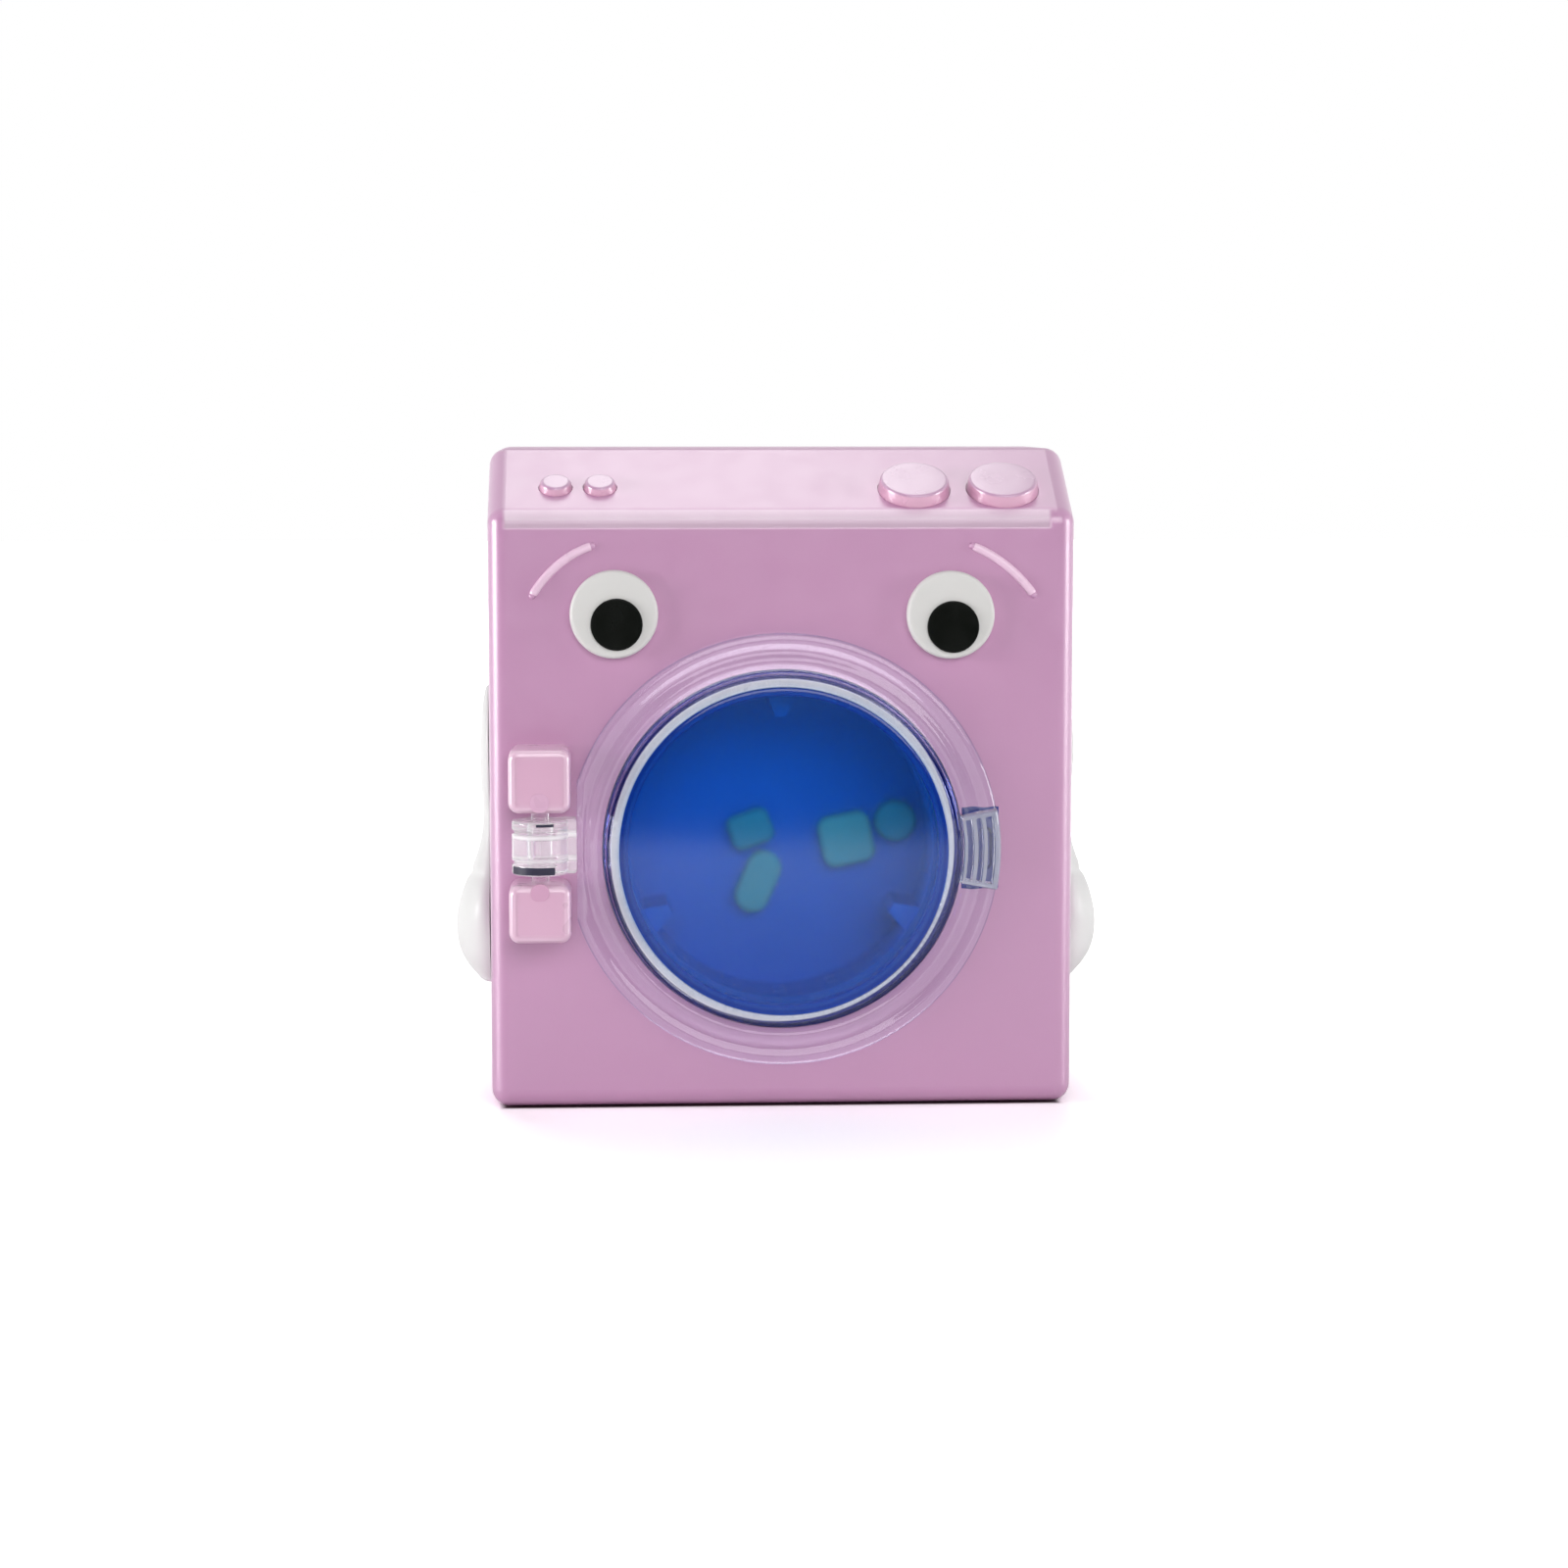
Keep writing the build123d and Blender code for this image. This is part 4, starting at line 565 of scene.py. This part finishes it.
# Towards the hinge the flange is cut flat, so what stands beyond the flat is pulled in.
leftwards = -np.cos(ring_turns)
flat_reach = np.where(leftwards > 0.5, flange_flat / np.maximum(leftwards, 0.5), flange_radius)
pulled = np.maximum(flange_radius - flat_reach, 0) * step(ring_section[..., 0], 29.6, flange_radius)
section_reach = ring_section[..., 0] - pulled
ring_points = np.stack(
    [section_reach * np.cos(ring_turns), ring_section[..., 1], drum_z + section_reach * np.sin(ring_turns)],
    axis=-1,
)
door_ring = surface("door_moulding", ring_points, door_clear, wrap_rows=True, wrap_columns=True)

# The ribs are made a little milky, a painted reflection that pales them. Painted shade draws a dark line on
# the rim, wider to the lower right, for the navy collar seen through the rim, and a fainter one along the
# flange's edge.
spot = mesh_points(door_ring)
spot_reach = from_drum_axis(spot)
spot_turn = np.degrees(np.arctan2(spot[:, 2] - drum_z, spot[:, 0]))
on_rib = (np.abs(spot_turn) < grip_half_angle + 0.1) & (spot[:, 1] < flange_front - 0.7)
on_rib &= spot_reach > grip_inner - 0.05
carry(door_ring, "milk", np.where(on_rib, rib_painted_reflection, 0.0))
lean = shade_lean * np.clip(np.cos(np.radians(spot_turn + shade_turn)), 0, 1)
rim_line = step(spot_reach + lean, *rim_line_start) * (1 - step(spot_reach, *rim_line_stop))
edge_line = edge_painted_shade * step(spot_reach, *edge_line_start) * (1 - on_rib)
carry(door_ring, "painted_shade", np.maximum(rim_line, edge_line) * (spot[:, 1] < flange_front + 0.5))
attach(door_ring, "door")
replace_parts(door_ring, "door_ring")

# Hinge knuckle, pin and lugs
# The clear moulding ends in a neck and a stout barrel round a clear pin, with a small pocket in its front.
# Two pale bands round the barrel are painted highlights, laid in as extra milk, and dark bands of painted
# shade fill the gaps above and below.
# Two soft-edged pink lugs, moulded apart and glued to the front, hold the pin.
pin_x, pin_y, neck_end = -37.2, -28.7, -31.65
knuckle_low, knuckle_high, knuckle_radius, knuckle_edge = 37.4, 45.7, 4.3, 0.45
pocket_across, pocket_up, pocket_depth, pocket_flank = (-1.0, 2.6), (40.1, 42.9), 0.9, 0.18
waist_levels, waist_depth, waist_reach = (39.3, 43.9), 0.35, 0.45
knuckle_milk, knuckle_most_milk, knuckle_painted_highlight = 0.25, 0.8, ((0.5, 43.3, 0.5), (0.4, 39.6, 0.4))
knuckle_clear = clear_plastic("knuckle_clear", (0.96, 0.955, 0.965, 1.0), 0.06, milky=True)
barrel_turns = whole_turn(240)
cosine, sine = np.cos(barrel_turns), np.sin(barrel_turns)
to_back = np.where(sine > 0, (flange_back - pin_y) / np.maximum(sine, 0.02), 0)
to_end = np.where(cosine > 0, (neck_end - pin_x) / np.maximum(cosine, 0.02), 0)
barrel_reach = np.maximum(knuckle_radius, np.minimum(to_end, to_back))
bend = np.linspace(0, np.pi / 2, 7)
rise = knuckle_edge * (1 - np.cos(bend))
draw_in = knuckle_edge * (1 - np.sin(bend))
wall = np.linspace(knuckle_low + 0.5, knuckle_high - 0.5, 62)
level = np.concatenate([
    [knuckle_low, knuckle_low], knuckle_low + rise, wall, (knuckle_high - rise)[::-1],
    [knuckle_high, knuckle_high],
])[:, None]
share = np.concatenate([[0, 0.5], np.ones(level.size - 4), [0.5, 0]])[:, None]
inset = np.concatenate([[0, 0], draw_in, 0 * wall, draw_in[::-1], [0, 0]])[:, None]
pocket = between(barrel_reach * cosine, *pocket_across, pocket_flank) * (sine < 0)
pocket = pocket_depth * pocket * between(level, *pocket_up, pocket_flank)
waist = waist_depth * sum(bump(level, middle, waist_reach) for middle in waist_levels) * (cosine < 0.6)
barrel_size = share * (barrel_reach - inset) - pocket - waist
knuckle = surface(
    "hinge_knuckle",
    np.stack([pin_x + barrel_size * cosine, pin_y + barrel_size * sine, level + 0 * cosine], axis=-1),
    knuckle_clear, wrap_columns=True,
)
spot = mesh_points(knuckle)
# Painted highlight: two pale bands round the barrel, laid in as extra milk.
painted_highlight = sum(extra * bump(spot[:, 2], middle, half_height) for extra, middle, half_height in knuckle_painted_highlight)
carry(knuckle, "milk", np.clip(knuckle_milk + painted_highlight, 0, knuckle_most_milk))
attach(knuckle, "door")

gap_inner, gap_outer, gap_steps = 4.0, 4.36, 40
gap_painted_shade = moulded_plastic("hinge_gap_painted_shade", (0.010, 0.008, 0.035, 1.0), shine=0.5)


def shade_band(name, first, last, low, high):
    """Dark band of painted shade round the pin from angle first to last, in degrees: a flat outline between
    two radii and two heights, carried round the pin and closed to its middle at both ends."""
    turn = np.radians(np.linspace(first, last, gap_steps))[None, :]
    corners = np.array([(gap_inner, low), (gap_outer, low), (gap_outer, high), (gap_inner, high)])
    centre = corners.mean(axis=0)
    open_share = np.ones(gap_steps)
    open_share[[0, -1]] = 0
    section = centre + (corners[:, None] - centre) * open_share[None, :, None]
    points = np.stack([pin_x + section[..., 0] * np.cos(turn), pin_y + section[..., 0] * np.sin(turn),
                       section[..., 1]], axis=-1)
    piece = surface(name, points, gap_painted_shade, wrap_rows=True)
    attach(piece, "door")


shade_band("hinge_shade_low", 198, 304, 37.65, 38.75)
shade_band("hinge_shade_high", 262, 300, 44.95, 45.35)

pin_clear = clear_plastic("pin_clear", (0.93, 0.92, 0.93, 1.0), 0.12)
dress(pin_clear, "hinge_pin")
edge_painted_highlight, highlight_inside, highlight_reach = 0.8, 0.50, 1.05


def edged_plastic(name, colour, edge_colour, shine=0.3):
    """Moulded plastic that goes over to a second colour by the mesh's rim value: painted light on edges
    and walls, paler for a highlight and darker for shade.
    """
    material = moulded_plastic(name, colour + (1.0,), shine, coat=1.0, gloss=1.0)
    tree = material.node_tree
    skin_colour = tree.nodes["Principled BSDF"].inputs["Base Color"]
    inner = skin_colour.links[0].from_socket
    feed(tree, skin_colour, mix(tree, "RGBA", carried(tree, "rim"), inner, edge_colour + (1.0,)))
    return material


def soft_block(name, up, height, material, width, back, front, corner, edge, crown):
    """Block on an upright plane, over the pin's line: rounded rectangles are stacked from the back to the
    front, where a quarter circle of radius edge draws the wall in. The front's own rows shrink from just
    inside the whole outline, which on a wide edge folds a fine lip, and are crowned as 1 - s^2. The rim
    value, a painted highlight, is a raised cosine along the front's outline."""
    bend = np.linspace(0, np.pi / 2, 10)
    front_rows = np.linspace(1, 0, 10)[1:]
    inward = np.concatenate([[0], edge * (1 - np.cos(bend)), 0 * front_rows])[:, None]
    shrink = np.concatenate([[1], 1 + 0 * bend, front_rows])[:, None]
    rounding = front + edge * (1 - np.sin(bend))
    depth = np.concatenate([[back], rounding, front + crown * front_rows**2])[:, None]
    quarter = np.arange(4)[:, None]
    turn = np.radians(quarter * 90 + np.linspace(0, 90, 12)).reshape(1, -1)
    side_x = np.repeat([1, -1, -1, 1], 12)
    side_z = np.repeat([1, 1, -1, -1], 12)
    round_part = np.maximum(corner - inward, 0.05)
    x = side_x * (width / 2 - inward - round_part) + round_part * np.cos(turn)
    z = side_z * (height / 2 - inward - round_part) + round_part * np.sin(turn)
    points = np.stack([pin_x + shrink * x, depth + 0 * x, up + shrink * z], axis=-1)
    piece = surface(name, points, material, wrap_columns=True)
    place = mesh_points(piece)
    to_edge = np.minimum(width / 2 - np.abs(place[:, 0] - pin_x), height / 2 - np.abs(place[:, 2] - up))
    painted_highlight = edge_painted_highlight * bump(to_edge, highlight_inside, highlight_reach)
    carry(piece, "rim", painted_highlight * (place[:, 1] < back - 0.5))
    return piece


# Painted highlight: the lugs' edges take the paler second pink.
lug_form = {"width": 9.4, "back": front_y, "front": -33.0, "corner": 1.6, "edge": 1.1, "crown": 0.12}
arch_form = {"width": 2.8, "back": -32.7, "front": -33.06, "corner": 1.2, "edge": 0.05, "crown": 0.0}
lug_skin = edged_plastic("lug_moulding", (0.70, 0.385, 0.56), (0.80, 0.54, 0.69))
# The pin arches are thin patches on each lug's front for the pin's socket, in painted colours: the lower
# darker than the lug as painted shade, the upper paler as painted light.
arch_painted_shade = moulded_plastic("pin_arch_painted_shade", (0.66, 0.36, 0.53, 1.0), shine=0.3)
arch_painted_light = moulded_plastic("pin_arch_upper_painted_light", (0.71, 0.43, 0.60, 1.0), shine=0.3)
lug_lower = soft_block("hinge_block_lower", 31.65, 8.9, lug_skin, **lug_form)
lug_upper = soft_block("hinge_block_upper", 51.85, 9.7, lug_skin, **lug_form)
arch_lower = soft_block("pin_arch_lower", 35.0, 2.6, arch_painted_shade, **arch_form)
arch_upper = soft_block("pin_arch_upper_painted_light", 48.6, 2.9, arch_painted_light, **arch_form)
for piece in (lug_lower, lug_upper, arch_lower, arch_upper):
    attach(piece, "cabinet")
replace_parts(lug_lower, "hinge_lug_lower")
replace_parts(lug_upper, "hinge_lug_upper")

# Window and its seal
# A blue window, dished outwards, is pressed into a milky ring that sits inside the clear rim. The window's
# blue shows the drum and the washing as darker and greener shapes.
window_radius, window_bulge, window_thickness = 25.2, 1.3, 1.6
window_painted_shade, window_shade_start = 0.85, (23.9, 24.6)
window_blue = clear_plastic(
    "window_blue", (0.10, 0.47, 0.92, 1.0), 0.13, lamp_tint=(0.60, 0.80, 1.0, 1.0),
    painted_shade=(0.002, 0.05, 0.42, 1.0),
)
dome_radius = (window_radius**2 + window_bulge**2) / (2 * window_bulge)
from_middle = window_radius * np.linspace(0, 1, 40) ** 0.8
dome_depth = rim_front - window_bulge + dome_radius - np.sqrt(dome_radius**2 - from_middle**2)
dome = np.stack([from_middle, dome_depth], axis=-1)[:-1]
dome_edge = [
    (window_radius - 0.15, rim_front - 0.005), (window_radius, rim_front + 0.1),
    (window_radius, rim_front + window_thickness),
]
window_outline = np.concatenate([dome, dome_edge, dome[::-1] + (0, window_thickness)])
door_window = turned("window_dome", window_outline, 0.0, drum_z, window_blue, closed=False)
# Painted shade: the window's outer edge is painted navy.
carry(door_window, "painted_shade", window_painted_shade * step(from_drum_axis(mesh_points(door_window)), *window_shade_start))
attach(door_window, "door")
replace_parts(door_window, "door_window")

# The seal's front has points for a painted dark line, painted shade for the navy collar seen through the rim,
# which leans to the lower right. Behind the window's edge the seal is painted navy too, as painted shade.
seal_front, seal_step, seal_inner, seal_seat, seal_outer = -27.5, -26.9, 23.8, 25.3, 26.5
seal_line_start, seal_window_end = (26.6, 26.75), (25.1, 25.25)
seal_lean, lean_across, lean_down = 0.75, 0.77, 0.64
seal_milk = edged_plastic("seal_milk", (0.82, 0.81, 0.82), (0.01, 0.02, 0.25))
seal_outline = eased(
    [(reach, seal_front) for reach in (seal_seat, 25.6, 25.8, 26.0, 26.2, seal_outer)]
    + [(seal_outer, flange_back), (seal_inner, flange_back), (seal_inner, seal_step), (seal_seat, seal_step)],
    (0.1, 0.05, 0.05, 0.05, 0.05, 0.1, 0.2, 0.3, 0.2, 0.1),
)
window_seal = turned("seal_ring", seal_outline, 0.0, drum_z, seal_milk)
spot = mesh_points(window_seal)
spot_reach = from_drum_axis(spot)
towards_lean = lean_across * spot[:, 0] - lean_down * (spot[:, 2] - drum_z)
lean = seal_lean * np.clip(towards_lean / spot_reach, 0, 1)
seal_painted_shade = step(spot_reach + lean, *seal_line_start)
behind_window = 1 - step(spot_reach, *seal_window_end)
carry(window_seal, "rim", np.maximum(seal_painted_shade, behind_window))
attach(window_seal, "door")
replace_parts(window_seal, "window_seal")

# Latch keeper
# A navy plate let into the front behind the grip, with a recess that the grip's snap bead closes into. The
# outer two rings of its grid close the plate behind.
keeper_x, keeper_half_width, keeper_half_height, keeper_behind = 30.6, 2.75, 6.35, front_y + 1.0
keeper_proud, keeper_flank = 0.12, 0.2
recess_across, recess_half_line, recess_radius, recess_flank, recess_depth = 0.6, 2.2, 1.1, 0.25, 0.7
keeper_across = np.concatenate([[-1, -1], np.linspace(-1, 1, 41), [1, 1]])[None, :] * keeper_half_width
keeper_up = np.concatenate([[-1, -1], np.linspace(-1, 1, 91), [1, 1]])[:, None] * keeper_half_height
row, column = np.arange(keeper_up.size)[:, None], np.arange(keeper_across.size)[None, :]
keeper_ring = np.minimum(np.minimum(row, row[::-1]), np.minimum(column, column[:, ::-1]))
keeper_face = between(keeper_across, -keeper_half_width, keeper_half_width, keeper_flank)
keeper_face = keeper_face * between(keeper_up, -keeper_half_height, keeper_half_height, keeper_flank)
from_recess = np.hypot(keeper_across - recess_across, np.maximum(np.abs(keeper_up) - recess_half_line, 0))
recess = recess_depth * (1 - step(from_recess, recess_radius - recess_flank, recess_radius))
keeper_depth = np.where(keeper_ring < 2, keeper_behind, front_y - keeper_proud * keeper_face + recess)
keeper_spread = np.minimum(keeper_ring, 1)
keeper_places = [keeper_x + keeper_across * keeper_spread, keeper_depth, drum_z + keeper_up * keeper_spread]
keeper_plate = surface("keeper_plate", np.stack(keeper_places, axis=-1), navy)
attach(keeper_plate, "cabinet")
dress(navy, "latch_keeper")

# Push buttons
# Four caps of pinker plastic stand through the sloping panel: two small ones on the left and two big ones
# on the right. Each has a soft rim, ears under the panel that hold it in, and a stem above its dome.
panel_slope = radians(29.0)
panel_across = np.array([1.0, 0.0, 0.0])
panel_up = np.array([0.0, np.cos(panel_slope), np.sin(panel_slope)])
panel_out = np.array([0.0, -np.sin(panel_slope), np.cos(panel_slope)])
panel_edge = np.array([0.0, front_y, 92.0])
small_left, small_right, big_left, big_right = (-34.6, 7.6), (-27.8, 7.6), (20.6, 7.0), (34.3, 7.0)
small_size, big_size = (2.45, 1.2), (5.45, 1.9)
cap_draft, cap_draw_in, cap_edge, cap_wall_foot, cap_neck = 0.13, 0.25, 0.45, -0.4, -0.7
cap_side_start, cap_side_end = 0.1, 0.5
ear_out, ear_top, ear_foot, ear_flat = 0.6, -2.1, -2.9, 0.9
stem_radius, stem_foot = 1.6, -4.45
# Painted light: the caps' walls and rim take a paler pink than their tops, lit and shaded copies of one
# colour.
button_skin = edged_plastic("button_moulding", (0.54, 0.295, 0.475), (0.72, 0.38, 0.54), shine=0.26)


def on_panel(across, up, out):
    """Places on the toy of panel coordinates: the panel's front edge, plus each coordinate along its axis."""
    across, up, out = (part[..., None] for part in np.broadcast_arrays(across, up, out))
    return panel_edge + across * panel_across + up * panel_up + out * panel_out


def button(name, place, size, node):
    """Cap turned round the panel's normal: its outline runs from the middle of the top over an eased rim,
    down a wall with a little draft, out to the ears, where it is cut flat on two sides, and in to the
    stem."""
    (across, up), (radius, rise_out) = place, size
    foot, ear = radius + cap_draft, radius + ear_out
    corners = [(0, rise_out), (radius - cap_draw_in, rise_out), (foot, 0), (0, 0)]
    rim_and_foot = eased(corners, (0, cap_edge, 0, 0), steps=9)[9:19]
    line = np.concatenate([
        [(0, rise_out), (0.5 * radius, rise_out)], rim_and_foot,
        [(foot, cap_wall_foot), (radius, cap_neck), (radius, ear_top), (ear, ear_top), (ear, ear_foot),
         (stem_radius, ear_foot), (stem_radius, stem_foot), (0, stem_foot)],
    ])
    turn = whole_turn(144)
    distance, out = line[:, :1], line[:, 1:]
    cut = np.minimum(distance, (radius - ear_flat) / np.maximum(np.abs(np.sin(turn)), 0.02))
    distance = np.where(distance > radius + ear_out / 2, cut, distance)
    points = on_panel(across + distance * np.cos(turn), up + distance * np.sin(turn), out)
    piece = surface(name, points, button_skin, wrap_columns=True)
    height = (mesh_points(piece) - on_panel(across, up, 0)) @ panel_out
    # Painted light: the paler wall pink grows down from the top's edge.
    carry(piece, "rim", 1 - step(height, rise_out - cap_side_end, rise_out - cap_side_start))
    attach(piece, node)
    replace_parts(piece, node)


button("cap_small_left", small_left, small_size, "button_small_left")
button("cap_small_right", small_right, small_size, "button_small_right")
button("cap_big_left", big_left, big_size, "button_big_left")
button("cap_big_right", big_right, big_size, "button_big_right")

# Key pad
# One sheet of grey silicone rubber under the caps, with a hollow dome for each that gives way when its cap
# is pressed. The sheet is pressed on to the board round the panel's two posts.
pad_rubber = moulded_plastic("pad_rubber", (0.16, 0.16, 0.17, 1.0), shine=0.7, grain=0.00003)
pad_low, pad_top, pad_half_width, pad_side_low, pad_side_high = -7.0, -6.2, 38.9, 3.3, 13.7
post_line, post_hole, post_places = 8.4, 2.5, (-17.0, 7.0)
dome_top, dome_crown, dome_foot, dome_keep = -4.6, 1.7, 2.3, 0.45


def pad_strip(name, outer):
    """Half of the sheet: a four-cornered section carried across the panel and closed at both ends, whose
    inner side follows the posts' line and steps round each post as the root of hole^2 - distance^2."""
    across = np.linspace(-pad_half_width, pad_half_width, 501)
    from_post = np.min([np.abs(across - place) for place in post_places], axis=0)
    clear = np.sqrt(np.maximum(post_hole**2 - from_post**2, 0))
    inner = post_line + np.sign(outer - post_line) * clear
    up = np.stack([inner, inner, 0 * inner + outer, 0 * inner + outer])
    out = np.array([pad_low, pad_top, pad_top, pad_low])[:, None] + 0 * inner
    up[:, [0, -1]] = (post_line + outer) / 2
    out[:, [0, -1]] = (pad_low + pad_top) / 2
    across[[0, -1]] = across[[1, -2]]
    piece = surface(name, on_panel(across, up, out), pad_rubber, wrap_rows=True)
    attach(piece, "cabinet")
    return piece


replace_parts(pad_strip("pad_strip_low", pad_side_low), "key_pad")
pad_strip("pad_strip_high", pad_side_high)


def pad_dome(name, place):
    """Dome turned round the panel's normal: its outline eases from a flat crown down a sloping wall."""
    across, up = place
    corners = [(0, dome_top), (dome_crown, dome_top), (dome_foot, pad_top), (0, pad_top)]
    line = eased(corners, (0.0, 0.3, 0.05, 0.0))
    turn = whole_turn(48)
    distance, out = line[:, :1], line[:, 1:]
    points = on_panel(across + distance * np.cos(turn), up + distance * np.sin(turn), out)
    piece = surface(name, points, pad_rubber, wrap_columns=True)
    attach(piece, "cabinet")
    anchor = on_panel(across, up, pad_top) * mm
    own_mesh(piece)


pad_dome("dome_small_left", small_left)
pad_dome("dome_small_right", small_right)
pad_dome("dome_big_left", big_left)
pad_dome("dome_big_right", big_right)

# Arms
# Two white mittens of satin plastic hang at the sides, each on a peg in the side wall: a round shoulder,
# a narrow wrist with a crease at the cuff, and a full hand with a thumb towards the front. Each knot is a
# height over the shoulder, half the breadth there and how proud of the wall it stands.
arm_white = moulded_plastic("arm_white", (0.80, 0.795, 0.79, 1.0), shine=0.42, blotch=0.015)
arm_inner, arm_fullness, shoulder_y, shoulder_z = 45.3, 0.9, -6.0, 55.2
peg_radius, peg_inner, peg_outer = 2.4, 40.5, 45.4
cuff_level, cuff_reach, cuff_depth = -20.3, 1.1, 0.10
thumb_level, thumb_reach, thumb_turn, thumb_spread, thumb_out = -24.5, 6.0, radians(290), 0.9, 1.6
arm_knots = np.array([
    (9.5, 0.0, 0.1), (9.1, 2.4, 0.5), (8.2, 4.6, 0.8), (6.6, 6.5, 1.1), (3.3, 8.9, 1.4), (-0.7, 9.4, 1.6),
    (-5.7, 7.6, 1.5), (-9.7, 5.4, 1.2), (-13.2, 5.2, 1.3), (-16.7, 6.4, 2.0), (-19.7, 7.8, 3.1),
    (-23.7, 9.3, 4.7), (-28.7, 10.0, 5.5), (-33.7, 8.1, 4.4), (-36.2, 5.6, 2.6), (-37.5, 3.2, 1.2),
    (-38.0, 0.0, 0.1),
])[::-1]


def smooth_through(x, knots_x, knots_y):
    """Curve through the knots: between two of them it is the cubic whose slope at each is the slope from
    the knot before to the knot after."""
    slope = np.gradient(knots_y, knots_x)
    place = np.clip(np.searchsorted(knots_x, x) - 1, 0, len(knots_x) - 2)
    width = knots_x[place + 1] - knots_x[place]
    t = (x - knots_x[place]) / width
    a, b = knots_y[place], knots_y[place + 1]
    p, q = slope[place] * width, slope[place + 1] * width
    return ((2 * t**3 - 3 * t**2 + 1) * a + (t**3 - 2 * t**2 + t) * p + (3 * t**2 - 2 * t**3) * b
            + (t**3 - t**2) * q)


def arm(name, side, node):
    """Arm outside the side wall: at each height nearly a half ellipse of the knots' breadth and proudness,
    closed flat towards the wall, with a crease at the cuff and a raised-cosine swelling for a thumb in front.
    Its peg is a cylinder through the wall."""
    knot_levels, knot_breadths, knot_prouds = arm_knots.T
    low, high = knot_levels[[0, -1]]
    height = (low + high) / 2 + (high - low) / 2 * np.sin(np.linspace(-np.pi / 2, np.pi / 2, 130))[:, None]
    breadth = np.maximum(smooth_through(height, knot_levels, knot_breadths), 0)
    proud = np.maximum(smooth_through(height, knot_levels, knot_prouds), 0)
    turn = whole_turn(96)
    crease = cuff_depth * bump(height, cuff_level, cuff_reach)
    thumb = thumb_out * bump(height, thumb_level, thumb_reach) * bump(turn, thumb_turn, thumb_spread)
    x = np.maximum(np.cos(turn), 0) ** arm_fullness * proud * (1 - crease)
    y = np.sin(turn) * (breadth * (1 - 0.5 * crease) + thumb)
    points = np.stack([side * (arm_inner + x), shoulder_y + y, shoulder_z + height + 0 * turn], axis=-1)
    piece = surface(name, points, arm_white, wrap_columns=True, crease=60.0)
    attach(piece, node)
    peg = np.array([(0.0, peg_inner), (peg_radius, peg_inner), (peg_radius, peg_outer), (0.0, peg_outer)])
    turn = whole_turn(48)
    peg_points = np.stack([side * peg[:, 1:] + 0 * turn, shoulder_y + peg[:, :1] * np.cos(turn),
                           shoulder_z + peg[:, :1] * np.sin(turn)], axis=-1)
    shank = surface(name + "_peg", peg_points, arm_white, wrap_columns=True)
    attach(shank, node)
    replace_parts(piece, node)


arm("mitten_left", -1, "arm_left")
arm("mitten_right", 1, "arm_right")
dress(arm_white, "arm_clip_left", "arm_clip_right")

# Works inside
# Nylon gears and bushes on steel pins, a small can motor with a brass pinion, a speaker, two cells between
# nickel-plated strips, a green board, steel screws, and the rubber sheet under the floor.


def turned_metal(name, colour, shine, streak):
    """Bare metal with fine streaks: noise stretched along one axis makes its roughness drift."""
    material = bpy.data.materials.new(name)
    material.use_nodes = True
    tree = material.node_tree
    stretch = tree.nodes.new("ShaderNodeMapping")
    stretch.inputs["Scale"].default_value = (400.0, 400.0 * streak, 4000.0)
    feed(tree, stretch.inputs["Vector"], tree.nodes.new("ShaderNodeTexCoord").outputs["Object"])
    noise = tree.nodes.new("ShaderNodeTexNoise")
    noise.inputs["Scale"].default_value = 1.0
    feed(tree, noise.inputs["Vector"], stretch.outputs["Vector"])
    drift = ramp(tree, noise.outputs["Fac"], 0.0, 1.0, shine - 0.1, shine + 0.1)
    for socket, value in (("Base Color", colour), ("Metallic", 1.0), ("Roughness", drift)):
        feed(tree, tree.nodes["Principled BSDF"].inputs[socket], value)
    return material


def woven_board(name, colour):
    """Board of glass cloth under lacquer: a fine slanting wave bumps its skin in the grain's place."""
    material = moulded_plastic(name, colour, shine=0.22)
    tree = material.node_tree
    weave = tree.nodes.new("ShaderNodeTexWave")
    weave.inputs["Scale"].default_value = 900.0
    weave.bands_direction = "DIAGONAL"
    feed(tree, weave.inputs["Vector"], tree.nodes["Texture Coordinate"].outputs["Object"])
    feed(tree, tree.nodes["Bump"].inputs["Height"], weave.outputs["Fac"])
    return material


steel = turned_metal("steel", (0.56, 0.57, 0.58, 1.0), 0.32, 0.1)
nickel = turned_metal("nickel_strip", (0.66, 0.64, 0.58, 1.0), 0.25, 1.0)
brass = turned_metal("brass", (0.80, 0.58, 0.26, 1.0), 0.28, 0.1)
nylon = moulded_plastic("nylon", (0.78, 0.77, 0.72, 1.0), shine=0.45)
works_grey = moulded_plastic("works_grey", (0.30, 0.30, 0.32, 1.0), shine=0.5)
dark_works = moulded_plastic("dark_works", (0.03, 0.03, 0.035, 1.0), shine=0.45)
cell_wrap = moulded_plastic("cell_wrap", (0.05, 0.14, 0.10, 1.0), shine=0.2, coat=0.5)
board_green = woven_board("board_green", (0.02, 0.16, 0.06, 1.0))
dress(steel, "cover_screws", "battery_door_screw", "tub_screws", "gear_cover_screws", "board_screws",
      "drum_shaft", "idler_pin", "motor", "motor_shaft")
dress(nickel, "battery_links", "battery_contacts")
dress(brass, "motor_pinion")
dress(nylon, "drum_gear", "idler_gear", "bush_front", "bush_rear")
dress(works_grey, "gear_cover")
dress(dark_works, "speaker")
dress(pad_rubber, "base_sheet")
dress(cell_wrap, "battery_lower", "battery_upper")
dress(board_green, "switch_board")
